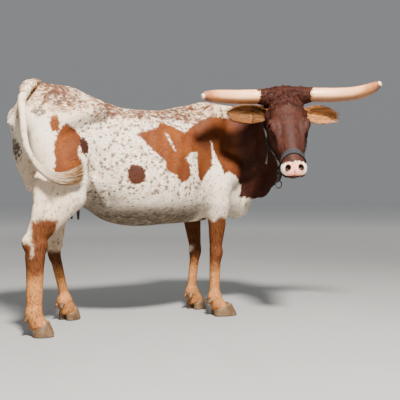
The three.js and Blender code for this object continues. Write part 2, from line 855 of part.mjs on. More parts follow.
const tailSpans = {
  tail_dock: [0, DOCK_END],
  tail_mid: [DOCK_END + 0.0004, SWITCH_START],
  tail_switch: [SWITCH_START + 0.0004, 1],
};
const tailSpaces = Object.values(tailSpans).map(([from, to]) => tailPart(from, to, GAP));
add("tail_dock", tailPart(...tailSpans.tail_dock, 0), "coat");
add("tail_mid", tailPart(...tailSpans.tail_mid, 0), "coat");
const SWITCH_CORE_END = 0.86;
const switchLocks = () => {
  const random = randomFrom(SWITCH_SEED);
  const curve = new THREE.CatmullRomCurve3(settledTail, false, "centripetal");
  return Array.from({ length: SWITCH_LOCKS }, (_, i) => {
    const start = mix(SWITCH_START + 0.03, SWITCH_CORE_END - 0.02, i / SWITCH_LOCKS);
    const end = Math.min(start + mix(0.17, 0.24, random()), 1);
    const turn = 2 * Math.PI * (i * GOLDEN + 0.1 * random());
    const spread = mix(4, 24, random() ** 1.5) * THREE.MathUtils.smoothstep(end, 0.8, 1);
    const run = curve.getTangentAt(start).normalize();
    const side = V(0, 0, 1).cross(run).normalize();
    const above = run.clone().cross(side);
    const out = side.clone().multiplyScalar(Math.cos(turn)).addScaledVector(above, Math.sin(turn));
    const across = run.clone().cross(out);
    const spine = [0, 0.33, 0.68, 1].map((s) => {
      const t = mix(start, end, s);
      const share = [0.35, 0.85, 0.8, 0.3][Math.round(s * 3)];
      const off = share * (tailRadius(Math.min(t, 0.88)) + 2) + spread * s * s;
      const point = curve.getPointAt(t).addScaledVector(out, off);
      return s === 0 ? point : settled(trunkAndLegs, point, LOCK_CLEARANCE);
    });
    return lockSolid(spine, across, SWITCH_LOCK_WIDTH, SWITCH_LOCK_THICK);
  });
};
const switchCore = tailPart(tailSpans.tail_switch[0], SWITCH_CORE_END, 0);
add("tail_switch", join(switchCore, ...switchLocks()), "tailHair");

// Hooves: two claws and two dewclaws to a foot
function clawSolid(fetlock, turn, sign, grow) {
  const [toe, heel] = turn < 0 && fetlock[0] > 0 ? LONG_HOOF : SHORT_HOOF;
  const base = along(fetlock, turn, PASTERN_FORWARD, sign * TOE_SPREAD, 0);
  const levels = [
    [0, 1, 0],
    [0.5, 0.95, -4],
    [1, 0.86, -10],
  ];
  const rings = levels.map(([up, size, back]) =>
    Array.from({ length: CLAW_SIDES }, (_, j) => {
      const angle = (2 * Math.PI * j) / CLAW_SIDES;
      const c = Math.cos(angle);
      const s = Math.sin(angle);
      const forward = (c > 0 ? toe : heel) * c * size * (1 - 0.16 * up * (c > 0 ? c : 0)) + back;
      const inner = s * sign < 0;
      const left = (inner ? CLAW_INNER : CLAW_OUTER) * s * size * (1 - 0.28 * Math.max(c, 0) ** 2);
      const height = up * (mix(HEEL_HEIGHT, TOE_HEIGHT, (c + 1) / 2) + grow);
      const [wider, longer] = [1 + grow / CLAW_INNER, 1 + grow / SHORT_HOOF[0]];
      return V(...along([base[0], base[1], 0], turn, forward * longer, left * wider, height));
    }),
  );
  const top = rings[rings.length - 1].reduce((sum, p) => sum.add(p), V(0, 0, 0)).divideScalar(CLAW_SIDES);
  const bottom = V(...along([base[0], base[1], 0], turn, 0, 0, 0));
  return solid(closedTube(rings, bottom, top, true));
}
function dewclawSolid(fetlock, turn, sign, grow) {
  const path = [
    V(...along(fetlock, turn, -18, sign * 17, -14)),
    V(...along(fetlock, turn, -38, sign * 21, -24)),
    V(...along(fetlock, turn, -50, sign * 23, -44)),
  ];
  return roundTube(path, (t) => mix(15, 9, t), { count: 3, sides: 6, grow });
}

function addLeg(name, leg) {
  const claws = [1, -1].map((sign) => clawSolid(leg.fetlock, leg.toeTurn, sign, 0));
  const dewclaws = [1, -1].map((sign) => dewclawSolid(leg.fetlock, leg.toeTurn, sign, 0));
  const pockets = [1, -1].flatMap((sign) => [
    clawSolid(leg.fetlock, leg.toeTurn, sign, GAP),
    dewclawSolid(leg.fetlock, leg.toeTurn, sign, GAP),
  ]);
  const shrunk = legTube(name, LEG_MARGIN, 2 * GAP);
  const below = largest(wholeBody.intersect(beyond(shrunk, legRoots[name])));
  add("upper_leg_" + name, cut(before(below, shins[name]), udderSolid(GAP), ...tailSpaces), "coat");
  add("lower_leg_" + name, cut(beyond(below, shins[name]), ...pockets), "shin");
  add("hoof_outer_" + name, claws[leg.fetlock[1] > 0 ? 0 : 1], "hoof");
  add("hoof_inner_" + name, claws[leg.fetlock[1] > 0 ? 1 : 0], "hoof");
  add("dewclaw_outer_" + name, dewclaws[leg.fetlock[1] > 0 ? 0 : 1], "hoof");
  add("dewclaw_inner_" + name, dewclaws[leg.fetlock[1] > 0 ? 1 : 0], "hoof");
}
addLeg("fore_right", FORE.right);
addLeg("fore_left", FORE.left);
addLeg("hind_right", HIND.right);
addLeg("hind_left", HIND.left);
add("udder", udderSolid(0), "udder");

const spaces = legNames.map((name) => beyond(legSpace[name], shifted(legRoots[name], -GAP)));
add("torso", cut(wholeBody, ...spaces, udderSolid(GAP), ...tailSpaces), "coat");

// Neck
const neckTube = solid(
  skin(flesh, {
    core: [
      [470, 5, 960],
      [600, -45, 1000],
      [676, -150, 1060],
      [698, -270, 1105],
      [684, -380, 1145],
      [655, -480, 1190],
      [632, -560, 1215],
    ],
    stations: even(13),
    sides: 20,
    up: [0, 0, 1],
    reach: (t) => mix(520, 380, t),
  }),
);
add("neck", beyond(beyond(neckTube, neckRoot), headRoot), "face");

// Head
const headTube = (level, count = 17) =>
  solid(
    skin(flesh, {
      core: [
        fromHead(6, 0, -14),
        fromHead(120, 0, -40),
        fromHead(300, 0, -45),
        fromHead(488, 0, -34),
      ].map((p) => p.toArray()),
      stations: even(count),
      sides: 22,
      up: headUp.toArray(),
      normal: faceForward,
      reach: 230,
      domes: [
        [30, 60],
        [18, 38, 60],
      ],
      level,
    }),
  );

// Horns: they leave the poll sideways, sweep forward and turn up at the tips
function hornSolid(sign, grow) {
  const rises = sign > 0 ? HORN_RISES.left : HORN_RISES.right;
  const root = fromHead(HORN_ROOT[0], sign * HORN_ROOT[1], HORN_ROOT[2]);
  const path = [
    [0, 0],
    [0.2, 0.04],
    [0.44, 0.18],
    [0.68, 0.46],
    [0.86, 0.76],
    [1, 1],
  ].map(([out, forward], i) =>
    root
      .clone()
      .addScaledVector(headLeft, sign * HORN_REACH * out)
      .addScaledVector(heading(FACE_HEADING), HORN_FORWARD * forward)
      .add(V(0, 0, rises[i])),
  );
  const radius = (t) => HORN_BASE_RADIUS * (1 - 0.06 * t - 0.42 * t ** 4.5) * (t > 0.985 ? 0.5 : 1);
  return roundTube(path, radius, { count: 12, sides: 11, grow });
}

// The hairy bosses the horns grow from
const bossSolid = (sign) =>
  roundTube(
    [fromHead(2, sign * 40, -4), fromHead(0, sign * 105, -2), fromHead(-2, sign * BOSS_END, 0)],
    (t) => mix(54, 47, t) * (t > 0.98 ? 0.93 : 1),
    { count: 4, sides: 12 },
  );

// Ears: a leaf with a hollow front, held out sideways and a little back
function earFrame(sign) {
  const side = sign > 0 ? "left" : "right";
  const root = fromHead(EAR_ROOT[0], sign * EAR_ROOT[1], EAR_ROOT[2]);
  const out = headLeft
    .clone()
    .multiplyScalar(sign * 0.96)
    .addScaledVector(heading(FACE_HEADING), -EAR_BACKS[side])
    .add(V(0, 0, EAR_LIFTS[side]))
    .normalize();
  const front = heading(FACE_HEADING).multiplyScalar(0.9).add(V(0, 0, -0.1));
  front.addScaledVector(out, -front.dot(out)).normalize();
  const across = out.clone().cross(front).multiplyScalar(sign);
  return { root, out, front, across, long: EAR_LENGTHS[side] };
}
function earSolid(sign, grow) {
  const { root, out, front, across, long } = earFrame(sign);
  const widths = [0.48, 0.66, 0.9, 1, 1, 0.92, 0.72, 0.34];
  const rings = widths.map((wide, i) => {
    const t = i / (widths.length - 1);
    const half = EAR_HALF_WIDTH * wide + 2 * grow;
    const hollow = EAR_HALF_WIDTH * 0.75 * wide * Math.sin(Math.PI * mix(0.08, 0.95, t)) ** 0.8;
    const thick = mix(20, 7, t ** 0.6) + 2 * grow;
    const centre = root
      .clone()
      .addScaledVector(out, long * (t - 0.1) - (i === 0 ? 2 * grow : 0))
      .add(V(0, 0, -8 * t * t));
    const leaf = (u, back) =>
      centre
        .clone()
        .addScaledVector(across, half * u)
        .addScaledVector(front, hollow * (u * u - 0.6) - back);
    const steps = [-1, -0.72, -0.4, 0, 0.4, 0.72, 1];
    const face = steps.map((u) => leaf(u, -4 * grow));
    const rear = [...steps].reverse().map((u) => leaf(u * 1.0, thick * (1 - 0.45 * u * u)));
    return [...face, ...rear];
  });
  const middle = (ring) => ring.reduce((sum, p) => sum.add(p), V(0, 0, 0)).divideScalar(ring.length);
  const last = rings[rings.length - 1];
  const tip = middle(last).addScaledVector(out, 9);
  return solid(closedTube(rings, middle(rings[0]), tip, true));
}

// Long hairs that lie in the hollow of each ear and reach past its lower edge
function earLocks(sign) {
  const { root, out, front, across, long } = earFrame(sign);
  const random = randomFrom(EAR_SEED);
  return Array.from({ length: EAR_LOCKS }, (_, i) => {
    const u = mix(-0.7, 0.75, i / (EAR_LOCKS - 1));
    const start = mix(0.34, 0.5, random());
    const fan = across.clone().multiplyScalar(u * mix(0.35, 0.6, random()));
    const lie = out.clone().add(fan).normalize();
    const base = root
      .clone()
      .addScaledVector(out, long * (start - 0.1))
      .addScaledVector(across, EAR_HALF_WIDTH * 0.85 * u);
    const spine = [
      [0, -0.6],
      [0.35, -0.2],
      [0.7, 0.04],
      [1, 0.02],
    ].map(([forward, up]) =>
      base
        .clone()
        .addScaledVector(lie, EAR_LOCK_LENGTH * forward)
        .addScaledVector(front, EAR_HALF_WIDTH * (up + 0.75 * (u * u - 0.45))),
    );
    return lockSolid(spine, lie.clone().cross(front), EAR_LOCK_WIDTH, EAR_LOCK_THICK);
  });
}

// Eyes, set in lids
const eyeMatrix = (sign) =>
  inHead(EYE_AT[0], sign * EYE_AT[1], EYE_AT[2], 0, sign * 12).multiply(
    new THREE.Matrix4().makeRotationX(rad(sign * EYE_FORWARD)),
  );
function eyeSolid(sign, grow) {
  const radius = EYE_RADIUS + grow;
  return ball([radius, radius, radius], eyeMatrix(sign), 12, 8);
}
const lidSolid = (sign) =>
  ball([EYE_RADIUS + 10, EYE_RADIUS + 6, EYE_RADIUS + 7], eyeMatrix(sign), 10, 6);
function lidOpening(sign) {
  const matrix = eyeMatrix(sign).multiply(at(0, sign * (EYE_RADIUS + 2), 1));
  matrix.multiply(new THREE.Matrix4().makeRotationY(rad(EYE_SLANT)));
  return ball([EYE_RADIUS + 2, EYE_RADIUS * 0.75, EYE_RADIUS * 0.5], matrix, 10, 6);
}

// Nostrils and the line of the mouth
const nostril = (sign) =>
  ball([12, 8, 17], inHead(NOSTRIL_AT[0], sign * NOSTRIL_AT[1], NOSTRIL_AT[2], 42, sign * 34), 10, 6);
const mouthSlab = () => ball([110, 100, 3.2], inHead(MOUTH_AT[0], 0, MOUTH_AT[2], MOUTH_TILT), 16, 3);

// Curls on the poll and the horn bosses, in rows from behind the crest down to the forehead
const bossLimb = (sign) =>
  limb(fromHead(2, sign * 40, -4).toArray(), fromHead(-2, sign * BOSS_END, 0).toArray(), 54, 47);
const pollField = blend(8, flesh, bossLimb(1), bossLimb(-1));
const pollLocks = () => {
  const random = randomFrom(POLL_SEED);
  return POLL_LOCK_ROWS.flatMap((angle, row) => {
    const reach = 128 - 22 * Math.max(row - 2, 0);
    const count = 7 - Math.max(row - 2, 0);
    return Array.from({ length: count }, (_, i) => {
      const across = mix(-reach, reach, (i + 0.25 + 0.5 * random()) / count);
      const lean = rad(angle + mix(-9, 9, random()));
      const [rise, reachBack] = [Math.cos(lean), Math.sin(lean)];
      const out = headUp.clone().multiplyScalar(rise).addScaledVector(faceForward, -reachBack);
      const lie = faceForward.clone().multiplyScalar(rise).addScaledVector(headUp, reachBack);
      lie.addScaledVector(headLeft, mix(-0.5, 0.5, random()) + across / 300).normalize();
      const centre = fromHead(22, across, -22);
      const base = centre.clone().addScaledVector(out, castOut(pollField, centre, out, 200, 0));
      const curl = lie.clone().cross(out).multiplyScalar(mix(-12, 12, random()));
      const length = POLL_LOCK_LENGTH * mix(0.8, 1.15, random());
      const spine = [
        [-0.1, -14, 0],
        [0.25, -1, 0.2],
        [0.65, 2, 0.9],
        [1, -2, -0.2],
      ].map(([forward, up, side]) =>
        base
          .clone()
          .addScaledVector(lie, length * forward)
          .addScaledVector(out, up)
          .addScaledVector(curl, side),
      );
      for (const k of [1, 2, 3]) spine[k] = settled(pollField, spine[k], -1);
      return lockSolid(spine, lie.clone().cross(out), POLL_LOCK_WIDTH, POLL_LOCK_THICK);
    });
  });
};

const bothSides = (make) => [make(1), make(-1)];
const hornSpaces = bothSides((sign) => hornSolid(sign, GAP));
let skull = join(before(headTube(0), headRoot), ...bothSides(lidSolid), ...bothSides(bossSolid));
skull = cut(skull, cut(mouthSlab(), headTube(-7, 9)), ...bothSides(nostril), ...bothSides(lidOpening));
skull = cut(skull, ...bothSides((sign) => eyeSolid(sign, GAP)), ...hornSpaces);
skull = cut(skull, ...bothSides((sign) => earSolid(sign, GAP)));
skull = join(skull, cut(join(...pollLocks()), ...hornSpaces));
add("head", skull, "face");
add("horn_left", hornSolid(1, 0), "horn");
add("horn_right", hornSolid(-1, 0), "horn");
add("ear_left", join(earSolid(1, 0), ...earLocks(1)), "face");
add("ear_right", join(earSolid(-1, 0), ...earLocks(-1)), "face");
add("eye_left", eyeSolid(1, 0), "eye");
add("eye_right", eyeSolid(-1, 0), "eye");

// Halter: a webbing noseband, a headstall of rope with knots, and a short chain under the chin
function castToHead(x, angle, level) {
  const centre = fromHead(x, 0, -40);
  const sideways = headLeft.clone().multiplyScalar(Math.sin(angle));
  const direction = sideways.addScaledVector(headUp, Math.cos(angle));
  return centre.addScaledVector(direction, castOut(flesh, centre, direction, 300, level));
}
const NOSEBAND_SIDES = 20;
function nosebandSolid() {
  const rings = Array.from({ length: NOSEBAND_SIDES }, (_, j) => {
    const angle = (2 * Math.PI * j) / NOSEBAND_SIDES;
    const drop = NOSEBAND_DROP * Math.sin(angle / 2) ** 2;
    const x = NOSEBAND_AT + drop + NOSEBAND_BOW * Math.sin(angle) ** 2;
    const half = NOSEBAND_WIDTH / 2;
    return [
      castToHead(x - half, angle, NOSEBAND_SLACK),
      castToHead(x - half, angle, NOSEBAND_THICKNESS),
      castToHead(x + half, angle, NOSEBAND_THICKNESS),
      castToHead(x + half, angle, NOSEBAND_SLACK),
    ];
  });
  const points = rings.flat();
  const index = [];
  for (let i = 0; i < NOSEBAND_SIDES; i++)
    for (let j = 0; j < 4; j++) {
      const k = (j + 1) % 4;
      const n = (i + 1) % NOSEBAND_SIDES;
      index.push(i * 4 + j, i * 4 + k, n * 4 + k, i * 4 + j, n * 4 + k, n * 4 + j);
    }
  return solid(geometryOf(points, index));
}
// The rope from one end of the noseband up the cheek, round behind the poll and down the other cheek
const cheekRope = [
  [432, 66, -60],
  [330, 76, -96],
  [220, 104, -120],
  [126, 124, -116],
  [44, 116, -112],
  [-16, 66, -100],
];
const ropePoints = [
  ...cheekRope.map(([x, y, z]) => fromHead(x, y, z)),
  fromHead(-34, 0, -92),
  ...cheekRope.map(([x, y, z]) => fromHead(x, -y, z)).reverse(),
];
const ROPE_STEPS = 30;
const ropeLine = new THREE.CatmullRomCurve3(ropePoints, false, "centripetal")
  .getPoints(ROPE_STEPS)
  .map((p) => settled(flesh, p, ROPE_RADIUS + ROPE_CLEARANCE));
const rope = roundTube(ropeLine, () => ROPE_RADIUS, { count: 32, sides: 5 });
const knotAt = (point, radius) => ball([radius, radius, radius], at(...point.toArray()), 7, 5);
// A loose end hangs from the knot on the right cheek
const KNOT_STEP = Math.round(ROPE_STEPS * 0.82);
const looseStart = ropeLine[KNOT_STEP];
const looseLine = [0, 40, 80, 125].map((drop) =>
  settled(flesh, looseStart.clone().add(V(-drop * 0.05, drop * 0.02, -drop)), ROPE_RADIUS + ROPE_CLEARANCE),
);
const looseEnd = roundTube(looseLine, () => 4, { count: 8, sides: 6 });
// The eye under the jaw that the chain hangs from
const chinTop = castToHead(NOSEBAND_AT + CHAIN_OFFSET, rad(CHAIN_ANGLE), NOSEBAND_THICKNESS - 2.5);
const chinOut = headLeft
  .clone()
  .multiplyScalar(Math.sin(rad(CHAIN_ANGLE)))
  .addScaledVector(headUp, Math.cos(rad(CHAIN_ANGLE)));
const chinBar = V(0, 0, 1).cross(chinOut).normalize();
const chinPoint = (across, out, down) =>
  chinTop.clone().addScaledVector(chinBar, across).addScaledVector(chinOut, out).add(V(0, 0, -down));
const chinEye = roundTube(
  [
    chinPoint(-9, 0, 0),
    chinPoint(-9, 9, 3),
    chinPoint(-4, 15, 7),
    chinPoint(4, 15, 7),
    chinPoint(9, 9, 3),
    chinPoint(9, 0, 0),
  ],
  () => 2.2,
  { count: 11, sides: 5 },
);
const halter = join(
  nosebandSolid(),
  rope,
  looseEnd,
  chinEye,
  knotAt(ropeLine[0], 9.5),
  knotAt(ropeLine[ROPE_STEPS], 9.5),
  knotAt(looseStart, 9.5),
  knotAt(looseLine[looseLine.length - 1], 8),
);
add("halter", halter, "webbing");

// Chain: two links and a ring, each hanging in the one above
const LINK_WIRE = 3;
const LINK_BEND = 8;
const LINK_STRAIGHT = 20;
const RING_BEND = 21;
const hang = 2 * LINK_WIRE + GAP;
const chinBottom = chinPoint(0, 15, 7);
const eyeTurn = Math.atan2(-chinBar.x, chinBar.y);
const linkHalf = LINK_BEND + LINK_STRAIGHT / 2;
const upperCentre = chinBottom.clone().add(V(0, 0, 2.2 + LINK_WIRE + 3 * GAP - linkHalf));
const lowerCentre = upperCentre.clone().add(V(0, 0, -2 * linkHalf + hang));
const ringCentre = lowerCentre.clone().add(V(0, 0, -linkHalf + hang - RING_BEND));
const hung = (centre, turn) => at(...centre.toArray()).multiply(new THREE.Matrix4().makeRotationZ(turn));
const longLink = (centre, turn) => wireLink(hung(centre, turn), LINK_BEND, LINK_STRAIGHT, LINK_WIRE);
add("chain_link_upper", longLink(upperCentre, eyeTurn), "steel");
add("chain_link_lower", longLink(lowerCentre, eyeTurn + Math.PI / 2), "steel");
add("chain_ring", wireLink(hung(ringCentre, eyeTurn), RING_BEND, 0, LINK_WIRE), "steel");

const size = new THREE.Box3().setFromObject(group);
const middle = size.getCenter(V(0, 0, 0));
group.position.set(-middle.x, -middle.y, -size.min.z);
export default group;
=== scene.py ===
import math
import bmesh
import bpy
import numpy as np
import openvdb
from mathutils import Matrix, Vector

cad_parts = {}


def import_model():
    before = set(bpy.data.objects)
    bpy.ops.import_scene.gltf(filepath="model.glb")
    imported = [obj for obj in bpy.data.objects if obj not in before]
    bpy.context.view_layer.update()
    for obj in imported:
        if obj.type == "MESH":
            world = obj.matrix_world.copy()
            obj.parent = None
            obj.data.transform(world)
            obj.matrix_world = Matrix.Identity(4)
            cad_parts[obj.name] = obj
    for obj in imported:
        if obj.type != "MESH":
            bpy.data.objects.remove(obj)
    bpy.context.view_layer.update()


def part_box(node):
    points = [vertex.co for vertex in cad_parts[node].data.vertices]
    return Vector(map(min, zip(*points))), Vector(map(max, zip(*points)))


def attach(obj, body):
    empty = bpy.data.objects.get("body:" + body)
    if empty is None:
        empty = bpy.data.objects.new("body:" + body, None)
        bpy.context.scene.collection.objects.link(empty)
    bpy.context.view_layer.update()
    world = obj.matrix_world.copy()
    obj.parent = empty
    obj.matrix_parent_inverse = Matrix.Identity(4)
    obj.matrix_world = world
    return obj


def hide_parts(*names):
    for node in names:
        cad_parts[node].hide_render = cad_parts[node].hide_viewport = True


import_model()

# Lengths below are millimetres in the animal's own frame: +X to the chest, +Y to its left, +Z up.
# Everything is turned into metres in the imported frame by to_world.
MM = 0.001

# Driving dimensions, the same as those of the solids
SACRUM_HEIGHT = 1338
WITHERS_HEIGHT = 1300
BACK_HEIGHT = 1243
BELLY_HEIGHT = 548
BARREL_HALF_WIDTH = 285
POLL = (637, -514, 1306)
FACE_HEADING = -116.3
FACE_PITCH = 60
HEAD_ROLL = 4.8
HORN_BASE_RADIUS = 41
HORN_REACH = 372
HORN_FORWARD = 190
HORN_RISES = {1: (0, -5, -12, -15, -2, 24), -1: (0, 0, -1, -2, -5, -10)}
HORN_SWEEP = [(0, 0), (0.2, 0.04), (0.44, 0.18), (0.68, 0.46), (0.86, 0.76), (1, 1)]
HORN_ROOT = (-2, 124, 0)
BOSS_END = 160
EAR_LENGTHS = {1: 232, -1: 254}
EAR_HALF_WIDTH = 53
EAR_ROOT = (98, 106, -44)
EAR_BACKS = {1: 0.34, -1: -0.12}
EAR_LIFTS = {1: -0.05, -1: 0.08}
EYE_RADIUS = 21
EYE_AT = (236, 82, 6)
EYE_TURN = 12
EYE_FORWARD = 24
EYE_SLANT = 24
NOSTRIL_AT = (500, 37, 20)
NOSTRIL_RADII = (14, 11, 21)
MOUTH_AT = (500, 0, -29)
MOUTH_TILT = -17
MOUTH_RADII = (106, 100, 2.4)
MOUTH_DEPTH = 10
NOSTRIL_RIM = (21, 9, 27)
LID_FOLDS = ((13, 32), (-13, 28))
LIP_GROOVE_AT = (538, 0, 4)
LIP_GROOVE_RADII = (18, 2.5, 26)
LIP_GROOVE_TILT = -40
NOSEBAND_AT = 408
NOSEBAND_DROP = 10
NOSEBAND_BOW = 26
NOSEBAND_WIDTH = 28
NOSEBAND_THICKNESS = 11
CHAIN_OFFSET = 24
CHAIN_ANGLE = -135
TAIL_CLEARANCE = 3
TOE_HEIGHT = 74
HEEL_HEIGHT = 40
CLAW_INNER = 25
CLAW_OUTER = 33
SHORT_HOOF = (58, 50)
LONG_HOOF = (88, 58)
PASTERN_FORWARD = 44
CORONET_HEIGHT = 64
TOE_SPREAD = 28

# The skin lies this far inside the solids, and the coat fills the rest
COAT_DEPTH = 5
FACE_COAT = 2
BODY_CELL = 8
SEED = 7

# Camera, fitted to the photograph
CAMERA_AT = (-1868.6, -3683.9, 749.3)
CAMERA_HEADING = 31.36
CAMERA_DOWN = 0.644
CAMERA_LENS = 62.34
CAMERA_SENSOR = 36


def vec(*values):
    return np.array(values, float)


def over_tube(values, sides):
    """Each ring's value at all of its points, then the first and last at a tube's two end points."""
    return np.concatenate([np.repeat(values, sides, 0), values[:1], values[-1:]])


def round_angles(count):
    return np.linspace(0, 2 * math.pi, count, endpoint=False)


def unit(v):
    v = np.asarray(v, float)
    return v / np.linalg.norm(v, axis=-1, keepdims=True)


def mix(a, b, t):
    return a + (b - a) * t


def rising(t, low, high):
    """0 up to low, 1 from high on, and smooth between."""
    s = np.clip((t - low) / (high - low), 0, 1)
    return s * s * (3 - 2 * s)


def falling(t, low, high):
    return rising(-t, -high, -low)


def heading(turn):
    return vec(math.cos(math.radians(turn)), math.sin(math.radians(turn)), 0)


def side_of(turn):
    return vec(-math.sin(math.radians(turn)), math.cos(math.radians(turn)), 0)


def turned(axis, degrees):
    """A rotation matrix about an axis."""
    x, y, z = unit(axis)
    c, s = math.cos(math.radians(degrees)), math.sin(math.radians(degrees))
    t = 1 - c
    return np.array(
        [
            [t * x * x + c, t * x * y - s * z, t * x * z + s * y],
            [t * x * y + s * z, t * y * y + c, t * y * z - s * x],
            [t * x * z - s * y, t * y * z + s * x, t * z * z + c],
        ]
    )


X_AXIS, Y_AXIS, Z_AXIS = np.eye(3)


# Distance field shapes: each is a function of an array of points, below zero inside


def smooth_min(a, b, k):
    h = np.maximum(k - np.abs(a - b), 0) / k
    return np.minimum(a, b) - h * h * k * 0.25


def cut(a, b, k):
    """a with b taken out of it."""
    return -smooth_min(-a, b, k)


def blend(k, *shapes):
    def field(p):
        d = shapes[0](p)
        for shape in shapes[1:]:
            d = smooth_min(d, shape(p), k)
        return d

    return field


def hollowed(k, base, *cutters):
    def field(p):
        d = base(p)
        for cutter in cutters:
            d = cut(d, cutter(p), k)
        return d

    return field


def ellipsoid(centre, radii, axes):
    radii = vec(*radii)

    def field(p):
        q = (p - centre) @ axes
        k0 = np.sqrt(((q / radii) ** 2).sum(1))
        k1 = np.sqrt(((q / radii**2) ** 2).sum(1))
        return k0 * (k0 - 1) / np.maximum(k1, 1e-9)

    return field


def egg(centre, radii, tilt=0, turn=0):
    """An ellipsoid, tilted about Y and then turned about Z."""
    return ellipsoid(vec(*centre), radii, turned(Z_AXIS, turn) @ turned(Y_AXIS, tilt))


def limb(start, end, r0, r1, flat=1, side=(0, 1, 0)):
    """A tapered bar with round ends. flat squeezes it along the side direction."""
    a, b, s = vec(*start), vec(*end), unit(vec(*side))
    ab = b - a

    def field(p):
        d = p - a
        t = np.clip(d @ ab / (ab @ ab), 0, 1)
        d = d - t[:, None] * ab
        across = d @ s
        length = np.sqrt((d * d).sum(1) + across**2 * (1 / flat**2 - 1))
        return length - mix(r0, r1, t)

    return field


def paired(shape):
    """The same shape on both sides of the middle plane."""

    def field(p):
        return shape(np.stack([p[:, 0], -np.abs(p[:, 1]), p[:, 2]], 1))

    return field


def profile(points):
    """A smooth value along x through a few named stations."""
    x, y = np.array(points, float).T
    slopes = np.empty(len(x))
    slopes[1:-1] = (y[2:] - y[:-2]) / (x[2:] - x[:-2])
    slopes[0] = (y[1] - y[0]) / (x[1] - x[0])
    slopes[-1] = (y[-1] - y[-2]) / (x[-1] - x[-2])

    def value(at):
        at = np.clip(at, x[0], x[-1])
        i = np.clip(np.searchsorted(x, at, "right") - 1, 0, len(x) - 2)
        step = x[i + 1] - x[i]
        t = (at - x[i]) / step
        t2, t3 = t * t, t * t * t
        return (
            (2 * t3 - 3 * t2 + 1) * y[i]
            + (t3 - 2 * t2 + t) * step * slopes[i]
            + (3 * t2 - 2 * t3) * y[i + 1]
            + (t3 - t2) * step * slopes[i + 1]
        )

    return value


# Trunk

trunk_top = profile(
    [
        (-760, SACRUM_HEIGHT - 130), (-700, SACRUM_HEIGHT - 52), (-640, SACRUM_HEIGHT - 14),
        (-560, SACRUM_HEIGHT + 2), (-490, SACRUM_HEIGHT + 4), (-400, SACRUM_HEIGHT - 26),
        (-250, BACK_HEIGHT + 20), (-153, BACK_HEIGHT), (0, BACK_HEIGHT - 3), (100, BACK_HEIGHT + 5),
        (200, BACK_HEIGHT + 30), (300, WITHERS_HEIGHT - 4), (388, WITHERS_HEIGHT + 6),
        (500, WITHERS_HEIGHT - 25), (600, WITHERS_HEIGHT - 110),
    ]
)
trunk_bottom = profile(
    [
        (-760, 1030), (-600, 880), (-480, 760), (-390, BELLY_HEIGHT + 118), (-330, BELLY_HEIGHT + 78),
        (-260, BELLY_HEIGHT + 36), (-180, BELLY_HEIGHT + 12), (-70, BELLY_HEIGHT), (110, BELLY_HEIGHT + 8),
        (270, BELLY_HEIGHT + 14), (420, BELLY_HEIGHT + 32), (600, BELLY_HEIGHT + 150),
    ]
)
trunk_half_width = profile(
    [
        (-760, 95), (-650, 160), (-500, 190), (-380, 200), (-260, 232), (-120, BARREL_HALF_WIDTH - 8),
        (20, BARREL_HALF_WIDTH), (150, BARREL_HALF_WIDTH - 18), (290, 215), (420, 172), (600, 105),
    ]
)
trunk_pear = profile([(-800, 0), (-420, 0.02), (-260, 0.16), (0, 0.22), (200, 0.26), (400, 0.3), (600, 0.2)])
TRUNK_ENDS = (-735, 600)
TRUNK_BULGE = 1.15


def trunk(p):
    x = np.clip(p[:, 0], *TRUNK_ENDS)
    top, bottom = trunk_top(x), trunk_bottom(x)
    v = (p[:, 2] - (top + bottom) / 2) / ((top - bottom) / 2)
    width = trunk_half_width(x) * (1 - trunk_pear(x) * np.clip(v, -1, 1))
    u = np.abs(p[:, 1] / width) ** TRUNK_BULGE
    w = np.abs(v) ** TRUNK_BULGE
    depth = (np.sqrt(u * u + w * w) ** (1 / TRUNK_BULGE) - 1) * width * 0.85
    return np.hypot(np.maximum(depth, 0), p[:, 0] - x) + np.minimum(depth, 0)


body = blend(
    55,
    trunk,
    paired(egg((-388, -176, 1200), (66, 36, 46), 10)),
    paired(limb((-390, -164, 1198), (-600, -174, 1130), 36, 60)),
    paired(egg((-732, -116, 1150), (62, 50, 70))),
    egg((-640, 0, 1160), (140, 150, 150)),
    paired(egg((-636, -156, 985), (114, 82, 225), -10)),
    paired(egg((345, -150, 1085), (95, 52, 205), 18)),
    paired(egg((500, -128, 885), (92, 72, 105), -20)),
    paired(egg((360, -160, 815), (125, 66, 125))),
    egg((520, 0, 780), (150, 118, 195)),
    egg((630, -18, 722), (110, 66, 142), -20),
)


# Legs, set out by their joints


def fore(toe_turn, fetlock, knee, elbow):
    return dict(toe_turn=toe_turn, fetlock=fetlock, knee=knee, elbow=elbow)


def hind(toe_turn, fetlock, hock, heel, stifle, stout):
    return dict(toe_turn=toe_turn, fetlock=fetlock, hock=hock, heel=heel, stifle=stifle, stout=stout)


FORE = {
    "fore_right": fore(-14, (398, -140, 118), (402, -142, 375), (395, -165, 705)),
    "fore_left": fore(22, (395, 130, 120), (420, 135, 365), (395, 165, 705)),
}
HIND = {
    "hind_right": hind(-20, (-735, -172, 122), (-715, -168, 452), (-768, -165, 490), (-478, -205, 800), 1.2),
    "hind_left": hind(25, (-440, 186, 120), (-500, 172, 440), (-547, 170, 486), (-415, 205, 800), 0.9),
}
LEGS = {**FORE, **HIND}


def along(point, turn, forward, left, up):
    return vec(*point) + heading(turn) * forward + side_of(turn) * left + Z_AXIS * up


def foot_shapes(fetlock, turn):
    side = side_of(turn)
    down = CORONET_HEIGHT - 16 - fetlock[2]

    def toe(sign):
        start = along(fetlock, turn, 2, sign * 14, -4)
        end = along(fetlock, turn, PASTERN_FORWARD, sign * TOE_SPREAD, down)
        return limb(start, end, 32, 33, 0.85, side)

    return [
        egg(along(fetlock, turn, -2, 0, 4), (39, 34, 38), 0, turn),
        toe(1),
        toe(-1),
        limb(along(fetlock, turn, -20, 0, -8), along(fetlock, turn, 0, 0, down + 10), 26, 30, 1.2, side),
    ]


